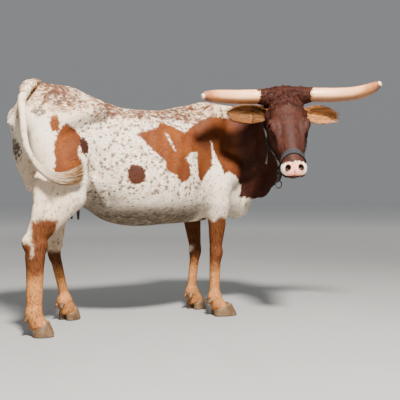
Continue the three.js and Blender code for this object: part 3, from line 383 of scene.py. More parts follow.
def fore_leg_field(elbow, knee, fetlock, toe_turn):
    side = side_of(toe_turn)
    return blend(
        22,
        limb(along(elbow, 0, 6, 0, 60), along(elbow, 0, 10, 0, -60), 84, 70, 0.76),
        limb(along(elbow, 0, 10, 0, -40), along(knee, toe_turn, 0, 0, 50), 70, 42, 0.8),
        egg(along(elbow, 0, -52, -2, 0), (34, 26, 44)),
        egg(along(knee, toe_turn, 3, 0, 6), (44, 41, 52), 0, toe_turn),
        limb(along(knee, toe_turn, -4, 0, -40), along(fetlock, toe_turn, -4, 0, 30), 38, 34, 0.76, side),
        *foot_shapes(fetlock, toe_turn),
    )


def thigh_shapes(stifle):
    inward = -np.sign(stifle[1])
    return [
        egg(along(stifle, 0, -85, inward * 18, 60), (115, 72, 190), 18),
        egg(along(stifle, 0, -28, 0, 0), (60, 46, 74), 20),
    ]


def hind_leg_field(stifle, hock, heel, fetlock, toe_turn, stout):
    side = side_of(toe_turn)
    inward = -np.sign(stifle[1])
    cannon_top = along(hock, toe_turn, 28 - 34 * stout, 0, -50)
    cannon_end = along(fetlock, toe_turn, -1, 0, 30)
    return blend(
        26,
        *thigh_shapes(stifle),
        limb(along(stifle, 0, -62, 0, -70), along(hock, 0, 12, 0, 70), 80, 44, 0.68),
        limb(along(stifle, 0, -205, inward * 40, 0), along(heel, 0, 70, 0, 156), 58, 42, 0.7),
        limb(along(heel, 0, 70, 0, 156), along(heel, 0, 4, 0, 6), 42, 24, 0.7),
        egg(along(hock, toe_turn, 4, 0, 8), (48, 37, 62), 20, toe_turn),
        egg(heel, (25, 24, 40), 10, toe_turn),
        limb(heel, along(hock, toe_turn, -16, 0, -60), 22, 32 * stout, 0.8, side),
        limb(cannon_top, cannon_end, 42 * stout, 36 * stout, 0.74, side),
        *foot_shapes(fetlock, toe_turn),
    )


# Neck

neck = blend(
    60,
    limb((430, 0, 1120), (590, -40, 1125), 165, 150, 0.85),
    limb((590, -45, 1125), (700, -190, 1150), 150, 122, 0.86, (0.7, 0.7, 0)),
    limb((700, -190, 1150), (682, -420, 1200), 122, 104, 0.9, (1, 0, 0)),
    limb((560, -20, 960), (690, -170, 1010), 130, 95, 0.72, (0.6, 0.8, 0)),
    limb((690, -170, 1010), (668, -430, 1115), 95, 72, 0.7, (1, 0, 0)),
    limb((630, -50, 880), (702, -250, 950), 82, 66, 0.5, (0.9, 0.35, 0)),
    limb((668, -40, 752), (706, -200, 796), 80, 60, 0.45, (0.95, 0.3, 0)),
    limb((706, -200, 796), (712, -322, 866), 60, 50, 0.45, (1, 0, 0)),
    limb((712, -322, 866), (682, -420, 984), 50, 44, 0.5, (1, 0, 0)),
    limb((704, -280, 968), (692, -370, 990), 58, 54, 0.5, (1, 0, 0)),
)

# The head has a frame of its own: x from the poll down the face, y to its left, z out of the forehead

face_forward = heading(FACE_HEADING) * math.cos(math.radians(FACE_PITCH))
face_forward = face_forward - Z_AXIS * math.sin(math.radians(FACE_PITCH))
head_left = turned(face_forward, HEAD_ROLL) @ side_of(FACE_HEADING)
head_up = np.cross(face_forward, head_left)
HEAD_AXES = np.stack([face_forward, head_left, head_up], 1)


def from_head(points):
    return np.asarray(points, float) @ HEAD_AXES.T + vec(*POLL)


def into_head(points):
    return (points - vec(*POLL)) @ HEAD_AXES


def mirrored(at, sign):
    """A place given for the left side, on the side of the sign."""
    return vec(at[0], sign * at[1], at[2])


def eye_gap(q, aside=0, up=0):
    """How far points of the head's frame are from the nearer eye, or from a place beside both."""
    places = [mirrored((EYE_AT[0], EYE_AT[1] + aside, EYE_AT[2] + up), sign) for sign in (1, -1)]
    return np.min([np.linalg.norm(q - place, axis=1) for place in places], 0)


def ball_in_head(at, radii, sign=1, tilt=0, turn=0, lean=0, offset=(0, 0, 0), spin=0):
    """An ellipsoid in the head's frame, turned as a lid, nostril or mouth needs."""
    axes = turned(Z_AXIS, turn) @ turned(Y_AXIS, tilt) @ turned(X_AXIS, lean)
    centre = mirrored(at, sign) + axes @ vec(*offset)
    return ellipsoid(centre, radii, axes @ turned(Y_AXIS, spin))


def lid_ball(sign, radii, offset=(0, 0, 0), spin=0):
    return ball_in_head(EYE_AT, radii, sign, 0, sign * EYE_TURN, sign * EYE_FORWARD, offset, spin)


skull_shape = hollowed(
    14,
    blend(
        26,
        egg((78, 0, -38), (118, 106, 88)),
        egg((150, 0, -8), (165, 98, 58)),
        paired(limb((6, 0, 0), (4, -112, -2), 54, 44)),
        egg((2, 0, 12), (48, 92, 46)),
        limb((200, 0, -26), (430, 0, -24), 76, 56, 1.08),
        limb((250, 0, 6), (450, 0, 0), 42, 34, 1.1),
        paired(egg((226, -92, 10), (54, 32, 40), 0, 10)),
        paired(limb((260, -74, -16), (350, -50, -20), 38, 30)),
        paired(egg((212, -74, -78), (92, 30, 78), -10)),
        paired(limb((172, -56, -118), (420, -26, -76), 46, 32)),
        paired(egg((112, -104, -42), (30, 22, 26))),
        egg((474, 3, -12), (60, 64, 43), 10),
        paired(egg((488, -40, -24), (42, 30, 38))),
        egg((458, 0, -62), (60, 48, 38)),
    ),
    paired(egg((300, -108, -8), (70, 26, 30), 10, 8)),
)
boss_shape = paired(limb((2, -40, -4), (-2, -BOSS_END + 12, 0), 54, 47))
plain_head = blend(16, skull_shape, boss_shape)


def nostril_ball(sign, radii):
    return ball_in_head(NOSTRIL_AT, radii, sign, tilt=42, turn=sign * 34)


def face_detail(q, d):
    """Lids, eye openings, nostrils, lips and folds, cut into or raised on the plain head."""
    for sign in (1, -1):
        d = smooth_min(d, lid_ball(sign, (EYE_RADIUS + 10, EYE_RADIUS + 6, EYE_RADIUS + 6))(q), 10)
        slit = (EYE_RADIUS + 2, EYE_RADIUS, EYE_RADIUS * 0.48)
        d = cut(d, lid_ball(sign, slit, (0, sign * (EYE_RADIUS + 2), -1), EYE_SLANT)(q), 3)
        for lift, reach in LID_FOLDS:
            fold = lid_ball(sign, (reach, 16, 2.2), (0, sign * (EYE_RADIUS + 8), lift), EYE_SLANT)
            d = cut(d, fold(q), 5)
        d = smooth_min(d, nostril_ball(sign, NOSTRIL_RIM)(q), 12)
        d = cut(d, nostril_ball(sign, NOSTRIL_RADII)(q), 4)
    mouth = ball_in_head(MOUTH_AT, MOUTH_RADII, tilt=MOUTH_TILT)
    d = cut(d, cut(mouth(q), skull_shape(q) + MOUTH_DEPTH, 2), 5)
    return cut(d, ball_in_head(LIP_GROOVE_AT, LIP_GROOVE_RADII, tilt=LIP_GROOVE_TILT)(q), 6)


def head(p):
    q = into_head(p)
    d = plain_head(q)
    near = d < 40
    if near.any():
        d[near] = face_detail(q[near], d[near])
    return d


# Udder, with four teats

udder = blend(
    16,
    egg((-470, 0, 742), (105, 96, 84)),
    *[
        limb((x, y, 690), (x, y * 1.04, 598), 17, 11)
        for x, y in ((-506, -52), (-506, 52), (-446, -50), (-446, 50))
    ],
)

rump = blend(40, body, limb((-560, 0, 1290), (-700, -2, 1322), 34, 36), egg((-700, 0, 1300), (60, 44, 44)))
flank_hollow = paired(egg((-262, -292, 1120), (90, 40, 70), -12))
flank_fold = limb((-402, -188, 812), (-318, -150, 690), 22, 16, 0.6)
leg_fields = [fore_leg_field(**joints) for joints in FORE.values()]
leg_fields += [hind_leg_field(**joints) for joints in HIND.values()]
trunk_and_legs = hollowed(50, blend(42, rump, *leg_fields), flank_hollow)
plain_flesh = blend(60, trunk_and_legs, neck, lambda p: plain_head(into_head(p)))


def ripple(p, axis, length, depth):
    """Long low waves along one direction, as ribs under the hide."""
    return depth * np.sin(2 * math.pi * (p @ unit(axis)) / length)


def slope_of(field, p, step=0.8):
    """The field's gradient, from four nearby points."""
    total = np.zeros_like(p)
    for corner in ((1, -1, -1), (-1, -1, 1), (-1, 1, -1), (1, 1, 1)):
        total += vec(*corner) * field(p + vec(*corner) * step)[:, None]
    return unit(total)


def settled(field, p, clearance):
    """Points moved out of the field until they are the given distance clear of its surface."""
    p = np.array(p, float)
    clearance = np.broadcast_to(clearance, (len(p),))
    for _ in range(40):
        d = field(p)
        low = d < clearance
        if not low.any():
            break
        p[low] += slope_of(field, p[low]) * (clearance[low] - d[low])[:, None]
    return p


# Curves


def spline(points, count):
    """A centripetal Catmull-Rom curve through the points, in even steps along its length."""
    points = np.asarray(points, float)
    ends = np.vstack([2 * points[0] - points[1], points, 2 * points[-1] - points[-2]])
    fine = []
    for i in range(1, len(ends) - 2):
        p0, p1, p2, p3 = ends[i - 1 : i + 3]
        d0, d1, d2 = (max(np.linalg.norm(b - a) ** 0.5, 1e-4) for a, b in ((p0, p1), (p1, p2), (p2, p3)))
        t1 = ((p1 - p0) / d0 - (p2 - p0) / (d0 + d1) + (p2 - p1) / d1) * d1
        t2 = ((p2 - p1) / d1 - (p3 - p1) / (d1 + d2) + (p3 - p2) / d2) * d1
        t = np.linspace(0, 1, 40, endpoint=False)[:, None]
        a = (2 * t**3 - 3 * t**2 + 1) * p1 + (t**3 - 2 * t**2 + t) * t1
        fine.append(a + (3 * t**2 - 2 * t**3) * p2 + (t**3 - t**2) * t2)
    fine = np.vstack([*fine, points[-1:]])
    run = run_along(fine)
    return sampled(fine, run, np.linspace(0, run[-1], count))


def run_along(line):
    """The length of the line up to each of its points."""
    return np.concatenate([[0], np.cumsum(np.linalg.norm(np.diff(line, axis=0), axis=1))])


def sampled(line, run, at):
    """Points of the line where its run has the given values."""
    return np.stack([np.interp(at, run, line[:, k]) for k in range(3)], -1)


def on_line(line, t):
    """The point that lies a share t of the way along an evenly stepped line."""
    return sampled(line, np.arange(len(line)), np.clip(t, 0, 1) * (len(line) - 1))


# Tail: the dock rises over the rump, falls beside the right pin bone and swings forward on the thigh

TAIL_PATH = [
    (-620, 0, 1306), (-650, -4, 1334), (-706, -42, 1302), (-762, -120, 1212),
    (-797, -192, 1120), (-799, -215, 1032), (-784, -233, 958), (-750, -252, 893),
    (-700, -268, 840), (-630, -284, 806), (-560, -290, 808), (-502, -292, 828),
]
TAIL_STEPS = 160
DOCK_FROM, DOCK_TO = 0.07, 0.27
SWITCH_FROM = 0.68
TAIL_BONE_END = 0.86


def tail_radius(t):
    return mix(29, 15, np.minimum(t * 1.4, 1)) + 10 * rising(t, 0.7, 0.85) - 14 * rising(t, 0.86, 1)


def tail_line():
    path = np.array(TAIL_PATH, float)
    radii = tail_radius(np.linspace(0, 1, len(path)))
    path[2:] = settled(trunk_and_legs, path[2:], radii[2:] + TAIL_CLEARANCE)
    return spline(path, TAIL_STEPS)


TAIL = tail_line()


def on_tail(t):
    return on_line(TAIL, t)


def dock_shape():
    steps = np.linspace(DOCK_FROM, DOCK_TO, 7)
    spans = zip(steps[:-1], steps[1:])
    return blend(10, *[limb(on_tail(a), on_tail(b), tail_radius(a), tail_radius(b)) for a, b in spans])


tail_dock = dock_shape()


RIB_ACROSS, RIB_SPACING, RIB_DEPTH = (1, 0, -0.28), 78, 1.6
FOLD_ACROSS, FOLD_SPACING, FOLD_DEPTH = (0.3, 1, 0.35), 64, 2.2


def flesh(p):
    """The whole skin, with the folds and bones that show through it."""
    x, y, z = p.T
    d = trunk_and_legs(p)
    for shape, k in ((flank_fold, 34), (udder, 20), (tail_dock, 14), (neck, 60)):
        d = smooth_min(d, shape(p), k)
    d = smooth_min(d, head(p), 60 * rising(y, -620, -480) + 4)
    ribs = rising(x, -230, -80) * falling(x, 180, 330) * rising(z, 640, 800) * falling(z, 1060, 1180)
    d = d + ripple(p, RIB_ACROSS, RIB_SPACING, RIB_DEPTH) * ribs
    folds = rising(x, 500, 600) * falling(y, -120, -20) * rising(y, -470, -380)
    d = d + ripple(p, FOLD_ACROSS, FOLD_SPACING, FOLD_DEPTH) * folds
    return d - (COAT_DEPTH - FACE_COAT) * short_haired(p)


def short_haired(p):
    """1 on the face, where the coat is thinnest, 0 on the body."""
    q = into_head(p)
    near = falling(np.abs(q[:, 1]), 125, 150) * rising(q[:, 2], -170, -130)
    return rising(q[:, 0], 110, 200) * near


def frames_along(line):
    """Side and above directions along a line, without sudden turns."""
    tangent = unit(np.gradient(line, axis=0))
    first = np.cross(Z_AXIS, tangent[0]) if abs(tangent[0][2]) < 0.9 else np.cross(X_AXIS, tangent[0])
    side = [unit(first)]
    for t in tangent[1:]:
        side.append(unit(side[-1] - t * (side[-1] @ t)))
    return np.array(side), np.cross(tangent, side)


# Meshes


def to_world(points):
    return (np.asarray(points, float) + SHIFT) * MM


def linked(name, data):
    """A new object in the scene that shows the data."""
    made = bpy.data.objects.new(name, data)
    bpy.context.collection.objects.link(made)
    return made


def new_object(name, points, faces, material):
    data = bpy.data.meshes.new(name)
    data.from_pydata(to_world(points).tolist(), [], [list(map(int, face)) for face in faces])
    data.polygons.foreach_set("use_smooth", [True] * len(data.polygons))
    data.materials.append(material)
    data.update()
    return linked(name, data)


def set_value(made, name, values):
    attribute = made.data.attributes.new(name, "FLOAT", "POINT")
    attribute.data.foreach_set("value", np.asarray(values, np.float32))


def set_vector(made, name, values):
    attribute = made.data.attributes.new(name, "FLOAT_VECTOR", "POINT")
    attribute.data.foreach_set("vector", np.asarray(values, np.float32).ravel())


def place(made, slot, *nodes):
    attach(made, "root")
    if nodes:
        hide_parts(*nodes)
    return made


def ring_faces(rings, sides, rows):
    """Four-sided faces from each ring to the next, round to the first where rows equals rings."""
    faces = []
    for i in range(rows):
        here, there = i * sides, (i + 1) % rings * sides
        for j in range(sides):
            k = (j + 1) % sides
            faces.append((here + j, here + k, there + k, there + j))
    return faces


def tube_faces(rings, sides):
    """Faces of a tube whose two end points follow its rings."""
    faces = ring_faces(rings, sides, rings - 1)
    start, end = rings * sides, rings * sides + 1
    top = (rings - 1) * sides
    for j in range(sides):
        k = (j + 1) % sides
        faces += [(start, k, j), (end, top + j, top + k)]
    return faces


def tube(line, radius, sides=16):
    """Points and faces of a closed tube along a line. radius may vary along it."""
    side, above = frames_along(line)
    radius = np.broadcast_to(radius, (len(line),))
    turn = round_angles(sides)[:, None]
    ring = side[:, None] * np.cos(turn) + above[:, None] * np.sin(turn)
    points = line[:, None] + ring * radius[:, None, None]
    ends = np.stack([line[0], line[-1]])
    return np.vstack([points.reshape(-1, 3), ends]), tube_faces(len(line), sides)


low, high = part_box("eye_right")
SHIFT = (vec(*low) + vec(*high)) / 2 / MM - from_head(mirrored(EYE_AT, -1))


# The skin: a level surface of the field, finer on the head


BLOCK = 6
SAMPLES_AT_ONCE = 200000


def places_in(counts):
    """Every whole-numbered place of a box, in order."""
    return np.stack(np.meshgrid(*[np.arange(n) for n in counts], indexing="ij"), -1).reshape(-1, 3)


def level_surface(field, low, high, cell, level):
    """Quads on the field's level. Only blocks near the surface are sampled closely."""
    low, high = vec(*low), vec(*high)
    wide = cell * BLOCK
    counts = np.ceil((high - low) / wide).astype(int)
    index = places_in(counts)
    rough = field(low + (index + 0.5) * cell * BLOCK) - level
    values = np.sign(rough).reshape(counts)
    for axis in range(3):
        values = np.repeat(values, BLOCK, axis)
    values = values.astype(np.float32) * cell
    near = index[np.abs(rough) < wide * 1.5]
    cells = (near[:, None] * BLOCK + places_in([BLOCK] * 3)[None]).reshape(-1, 3)
    for part in np.array_split(cells, max(len(cells) // SAMPLES_AT_ONCE, 1)):
        values[tuple(part.T)] = field(low + part * cell) - level
    grid = openvdb.FloatGrid()
    grid.background = cell
    grid.copyFromArray(np.clip(values, -3 * cell, 3 * cell))
    points, quads = grid.convertToQuads(isovalue=0)
    return low + np.asarray(points, float) * cell, np.asarray(quads)


def refine(points, faces, inside):
    """Splits each face near the places that inside() picks into four, and closes the rim with triangles."""
    shape = bmesh.new()
    verts = [shape.verts.new(p) for p in points]
    for face in faces:
        shape.faces.new([verts[int(v)] for v in face])
    shape.verts.index_update()
    picked = inside(points)
    edges = [e for e in shape.edges if picked[e.verts[0].index] and picked[e.verts[1].index]]
    bmesh.ops.subdivide_edges(shape, edges=edges, cuts=1, use_grid_fill=True)
    bmesh.ops.triangulate(shape, faces=[f for f in shape.faces if len(f.verts) > 4])
    return taken_from(shape)


def taken_from(shape):
    """The points and faces of a bmesh, which is then freed."""
    shape.verts.index_update()
    points = np.array([v.co[:] for v in shape.verts])
    faces = [tuple(v.index for v in f.verts) for f in shape.faces]
    shape.free()
    return points, faces


def drawn_on(field, points, level, rounds):
    """Points moved along the slope on to the field's level."""
    for _ in range(rounds):
        d = field(points) - level
        points = points - slope_of(field, points) * np.clip(d, -6, 6)[:, None]
    return points


# The part of the head, in its own frame, that gets a finer mesh
FINE_LOW = (60, -130, -130)
FINE_HIGH = (560, 130, 80)


def near_head(points):
    q = into_head(points)
    return ((q > FINE_LOW) & (q < FINE_HIGH)).all(1)


def near_features(points):
    q = into_head(points)
    return (eye_gap(q, 14, 8) < 46) | ((q[:, 0] > 440) & (q[:, 2] > -100))


BODY_LOW = (-860, -860, 40)
BODY_HIGH = (840, 330, 1400)


def skin_surface():
    points, quads = level_surface(flesh, BODY_LOW, BODY_HIGH, BODY_CELL, -COAT_DEPTH)
    points, faces = refine(points, quads, near_head)
    points = drawn_on(flesh, points, -COAT_DEPTH, 2)
    points, faces = refine(points, faces, near_features)
    return drawn_on(flesh, points, -COAT_DEPTH, 3), faces


# Ears: a leaf with a hollow front, held out sideways and a little back

ear_width = profile(
    [
        (0, 0.48), (0.14, 0.66), (0.29, 0.9), (0.43, 1), (0.57, 1),
        (0.71, 0.92), (0.86, 0.72), (0.95, 0.48), (1, 0.26),
    ]
)
EAR_ROWS = 44
EAR_STEPS = 17


def ear_frame(sign):
    root = from_head(mirrored(EAR_ROOT, sign))
    out = unit(head_left * sign * 0.96 - heading(FACE_HEADING) * EAR_BACKS[sign] + Z_AXIS * EAR_LIFTS[sign])
    front = heading(FACE_HEADING) * 0.9 - Z_AXIS * 0.1
    front = unit(front - out * (front @ out))
    return root, out, front, np.cross(out, front) * sign


def ear_leaf(sign, t, u, back):
    """A point of the ear: t along it, u from its upper to its lower edge, back behind the hollow."""
    root, out, front, across = ear_frame(sign)
    wide = ear_width(t)
    half = EAR_HALF_WIDTH * wide - 3
    hollow = EAR_HALF_WIDTH * 0.75 * wide * np.sin(math.pi * mix(0.08, 0.95, t)) ** 0.8
    centre = root + out * (EAR_LENGTHS[sign] * (t - 0.1))[..., None] - Z_AXIS * (8 * t * t)[..., None]
    return centre + across * (half * u)[..., None] + front * (hollow * (u * u - 0.6) - back)[..., None]


def ear_mesh(sign):
    """Points and faces of one ear, the hair's direction on it, and 1 in its hollow."""
    t = np.linspace(0, 1, EAR_ROWS)[:, None]
    u = np.sin(np.linspace(-math.pi / 2, math.pi / 2, EAR_STEPS))[None, :]
    thick = mix(18, 5, t**0.6)
    crease = 2.5 * np.cos(u * 9) * np.sin(math.pi * t)
    face = ear_leaf(sign, t + 0 * u, u + 0 * t, 2 + crease * (np.abs(u) < 0.9))
    rear = ear_leaf(sign, t + 0 * u, u + 0 * t, 1 + thick * (1 - 0.75 * u * u))
    rings = np.concatenate([face, rear[:, ::-1][:, 1:-1]], 1)
    sides = rings.shape[1]
    ends = np.stack([rings[0].mean(0), rings[-1].mean(0) + ear_frame(sign)[1] * 5])
    points = np.vstack([rings.reshape(-1, 3), ends])
    _, out, _, across = ear_frame(sign)
    fan = np.concatenate([u[0], u[0][::-1][1:-1]])
    lie = unit(out[None, None] + across[None, None] * fan[None, :, None] * 0.5 * t[..., None])
    lie = np.vstack([lie.reshape(-1, 3), out[None], out[None]])
    inner = np.zeros((EAR_ROWS, sides))
    inner[:, 1 : EAR_STEPS - 1] = 1
    return points, tube_faces(EAR_ROWS, sides), lie, np.append(inner.ravel(), [0, 0])


def tail_mesh():
    """The fleshy part of the tail below the dock, and the hair's direction on it."""
    t = np.linspace(DOCK_TO - 0.04, TAIL_BONE_END, 110)
    line = on_tail(t)
    thin = mix(1, 0.45, rising(t, SWITCH_FROM, TAIL_BONE_END))
    sunk = 5 * (1 - rising(t, DOCK_TO - 0.04, DOCK_TO))
    radius = (tail_radius(np.minimum(t, 0.7)) - COAT_DEPTH - sunk) * thin
    sides = 22
    points, faces = tube(line, radius, sides)
    tangent = unit(np.gradient(line, axis=0))
    return points, faces, over_tube(tangent, sides), over_tube(t, sides)


# Lie of the coat


def head_share(p):
    """1 on the head and on the roots of the horns, 0 on the body."""
    out, aside, up = into_head(p).T
    reach = np.maximum(rising(out, 10, 110), rising(up, -90, -60))
    near = falling(np.abs(aside), 185, 200) * rising(up, -230, -180)
    return reach * near * rising(out, -85, -60)


def neck_share(p):
    return rising(p[:, 0], 500, 640) * (1 - head_share(p))


def leg_share(p):
    """1 on the four legs, 0 on the trunk."""
    fore = falling(p[:, 2], 560, 720) * rising(p[:, 0], 240, 300)
    hind = falling(p[:, 2], 640, 860) * falling(p[:, 0], -430, -380)
    return np.clip(fore + hind, 0, 1)


def lie_of(p):
    """The direction that the hair grows in: back along the body, down the legs, down the face."""
    x, _, z = p.T
    lie = np.tile(unit(vec(-1, 0, -0.3)), (len(p), 1))
    turns = [
        (falling(x, -620, -460) * falling(z, 1050, 1230), (-0.15, 0, -1)),
        (rising(x, 250, 420) * falling(z, 1050, 1200), (-0.35, 0, -1)),
        (falling(x, -740, -690), (0, 0, -1)),
        (leg_share(p), (0, 0, -1)),
        (neck_share(p), (-0.3, 0.45, -0.8)),
    ]
    for share, way in turns:
        lie = mix(lie, vec(*way), share[:, None])
    _, aside, up = into_head(p).T
    cheek = falling(up, -90, -10)[:, None]
    down_face = HEAD_AXES[:, 0] * mix(1.0, -0.6, cheek) - HEAD_AXES[:, 2] * (0.35 + cheek)
    down_face = down_face + HEAD_AXES[:, 1] * (np.tanh(aside / 40) * 0.5)[:, None]
    return unit(mix(lie, unit(down_face), head_share(p)[:, None]))


COMB_LEG = ((0, 0, 640), (0, 0, 1))
COMB_NECK = ((560, 0, 1000), (0.3, -0.45, 0.8))
COMB_HEAD = ((600, -480, 1220), face_forward)
COMB_STRETCH = 0.14


def comb_of(p):
    """Coordinates squeezed along the hair, so that a noise in them makes hair streaks."""

    def squeezed(anchor, axis):
        axis = unit(axis)
        return p - axis * ((1 - COMB_STRETCH) * ((p - vec(*anchor)) @ axis))[:, None]

    comb = squeezed((0, 0, 0), (1, 0, 0.3))
    for zone, share in ((COMB_LEG, leg_share), (COMB_NECK, neck_share), (COMB_HEAD, head_share)):
        comb = mix(comb, squeezed(*zone), share(p)[:, None])
    return comb


# Markings, as distances in millimetres that are positive inside a mark

# Outlines along and up the body's right side
RIB_PATCH = [
    (-160, 1075), (-90, 1100), (-25, 1115), (5, 1150), (75, 1135), (150, 1095), (230, 1110), (230, 985),
    (175, 980), (130, 945), (150, 900), (148, 842), (115, 812), (80, 807), (50, 840), (-10, 873),
    (-20, 926), (-90, 988),
]
SHOULDER_PATCH = [
    (150, 1095), (212, 1132), (277, 1173), (328, 1199), (474, 1203), (600, 1190), (680, 1000), (646, 790),
    (576, 813), (520, 842), (463, 877), (415, 855), (402, 906), (350, 1001), (331, 1053), (340, 970),
    (332, 910), (289, 868), (238, 803), (215, 843), (213, 907), (223, 978),
]
HIP_PATCH = [
    (-585, 1110), (-525, 1095), (-480, 1045), (-523, 960), (-498, 900), (-518, 845), (-593, 836),
    (-652, 856), (-642, 926), (-650, 1000), (-628, 1061),
]
GASKIN_PATCH = [
    (-628, 604), (-632, 540), (-634, 470), (-636, 380), (-795, 380), (-750, 440), (-752, 500), (-757, 560),
    (-748, 600), (-690, 612),
]
# Middle and half size of each spot, along and up the body
HOCK_SPOT = (-797, 430, 50, 66)
HIP_SPOT = (-643, 1106, 27, 48)
HIP_DARK = (-473, 996, 31, 48)
RIB_SPOT = (-185, 848, 48, 55)
RIB_STREAK = (38, 1035, 9, 42)
STREAK_SLANT = 0.35
# Middle and radii of each spot in space
SADDLE_SPOTS = [((274, -80, 1262), (24, 30, 20)), ((368, -112, 1272), (52, 40, 30))]
SADDLE_DEPTH = 30
KNEE_SPOT = (381, 129, 395)
KNEE_SPOT_RADIUS = 26
SIDE_LINE = 14
THIGH_FROM = -420
THIGH_INSIDE = 130
NECK_EDGE = ((700, 900, 1100, 1300), (588, 640, 612, 570))
NECK_BROWN_FROM = 712
MUZZLE_WHITE_FROM = 456
CHIN_BROWN_AND_SHADE_BELOW = -21
FORE_TAN_TOP = 592
HIND_TAN_TOPS = {1: 405, -1: 425}
NO_MARK = -90.0
FORE_TAN_FROM = 335
TONGUE = 95
STAINS_AND_SHADE = [
    ((-712, -190, 1165), (70, 90, 52)),
    ((-722, -85, 1228), (26, 42, 36)),
    ((-795, 40, 1110), (50, 95, 62)),
    # Over the far buttock and inner thigh: partly stain, partly painted shade
    ((-745, 130, 985), (60, 70, 150)),
]
LEFT_SPOTS = [
    (-590, 1010, 62, 105), (-540, 900, 60, 60), (-330, 1050, 44, 38), (-210, 860, 52, 60),
    (-40, 980, 92, 66), (60, 900, 62, 92), (300, 1010, 120, 120), (430, 930, 120, 130),
    (520, 1060, 130, 120), (330, 880, 34, 70),
]


def outline_distance(outline, x, z):
    """Signed distance to a closed outline, positive inside."""
    ends = np.array(outline, float)
    nearest = np.full(len(x), 1e9)
    inside = np.zeros(len(x), bool)
    for (ax, az), (bx, bz) in zip(ends, np.roll(ends, -1, 0)):
        ex, ez = bx - ax, bz - az
        t = np.clip(((x - ax) * ex + (z - az) * ez) / (ex * ex + ez * ez), 0, 1)
        nearest = np.minimum(nearest, np.hypot(x - ax - t * ex, z - az - t * ez))
        crosses = (az > z) != (bz > z)
        inside ^= crosses & (x < ax + ex * (z - az) / (ez if ez else 1e-9))
    return np.where(inside, nearest, -nearest)


def spot_distance(spot, x, z):
    cx, cz, rx, rz = spot
    k = np.hypot((x - cx) / rx, (z - cz) / rz)
    return (1 - k) * min(rx, rz)


def patches_at(p, q, on_head):
    """Distance into the brown of trunk, neck and head."""
    x, y, z = p.T
    outer = np.where(x < THIGH_FROM, np.abs(y) - THIGH_INSIDE, 99)
    right, left = np.minimum(SIDE_LINE - y, outer), np.minimum(y - SIDE_LINE, outer)
    warp_x = x + 9 * np.sin(z / 23.0) + 5 * np.sin(z / 9.0 + 1)
    warp_z = z + 9 * np.sin(x / 27.0) + 4 * np.sin(x / 11.0)
    patch = np.full(len(p), -99.0)
    for outline in (RIB_PATCH, SHOULDER_PATCH, HIP_PATCH):
        patch = np.maximum(patch, np.minimum(outline_distance(outline, x, z), right))
    for spot in (HIP_SPOT, HIP_DARK, RIB_SPOT):
        patch = np.maximum(patch, np.minimum(spot_distance(spot, x, z), right))
    patch = np.minimum(patch, -spot_distance(RIB_STREAK, x + (z - RIB_STREAK[1]) * STREAK_SLANT, z))
    for spot in LEFT_SPOTS:
        patch = np.maximum(patch, np.minimum(spot_distance(spot, warp_x, warp_z), left))
    for centre, radii in SADDLE_SPOTS:
        patch = np.maximum(patch, (1 - np.sqrt((((p - centre) / radii) ** 2).sum(1))) * SADDLE_DEPTH)
    neck = x - np.interp(z, *NECK_EDGE)
    patch = np.maximum(patch, np.minimum(neck, z - NECK_BROWN_FROM + 12 * np.sin(y / 45.0)))
    muzzle = MUZZLE_WHITE_FROM + 0.22 * (q[:, 2] + 40) - q[:, 0]
    # Below the nose pad the chin is brown, partly its hair colour and partly painted shade under the upper
    # lip
    return np.where(on_head > 0.5, np.maximum(muzzle, CHIN_BROWN_AND_SHADE_BELOW - q[:, 2]), patch)


def tans_at(p):
    """Distance into the tan of the shins."""
    x, y, z = p.T
    tongue = TONGUE * rising(x, 436, 482) * (y < 0)
    edge = FORE_TAN_TOP + 10 * np.sin(y / 9.0) - tongue
    fore = np.where(x > 250, np.minimum(edge - z, x - FORE_TAN_FROM), -99)
    fore = np.minimum(fore, np.linalg.norm(p - vec(*KNEE_SPOT), axis=1) - KNEE_SPOT_RADIUS)
    left = np.where((x < -380) & (y > 0), HIND_TAN_TOPS[1] - z, -99)
    near = np.maximum(outline_distance(GASKIN_PATCH, x, z), spot_distance(HOCK_SPOT, x, z))
    right = np.where((x < -560) & (y < 0), np.maximum(near, HIND_TAN_TOPS[-1] - z), -99)
    return np.maximum.reduce([fore, left, right])


def darkness_at(p, q, on_head):
    """0 where the brown is fox red, 1 where it is nearly black."""
    x, y, z = p.T
    body = np.maximum(0.34 * rising(x, 150, 240), rising(x, 420, 690))
    face = 0.72 + 0.28 * falling(q[:, 0], -30, 60)
    dark = body * (1 - on_head) + on_head * face
    for spot, depth in ((HIP_DARK, 0.8), (RIB_SPOT, 0.55)):
        dark = np.maximum(dark, rising(spot_distance(spot, x, z), -4, 4) * (y < 0) * depth)
    return np.maximum(dark, on_head * (1 + 0.25 * falling(eye_gap(q), 34, 62)))


def hump(x, middle, reach):
    return np.exp(-(((x - middle) / reach) ** 2))


def blotches_at(x, z):
    """Where the flecks run together, on rump and loin."""
    rump = hump(x, -590, 175) * rising(z, 1130, 1230)
    loin = 0.85 * rising(z, 1125, 1190) * rising(x, -480, -360) * falling(x, 200, 420)
    return np.maximum(rump, loin)


def dust_and_shade_at(p):
    """1 where the belly is dusty and darkened as painted shade, and where the fold before the stifle is
    darkened as painted shade.
    """
    x, _, z = p.T
    belly = falling(z, 610, 720) * rising(x, -430, -330)
    # The recess before the stifle gets painted shade, not dust
    recess_shade = 0.9 * falling(z, 700, 800) * hump(x, -350, 105)
    return np.maximum(belly, recess_shade) * (1 - leg_share(p))


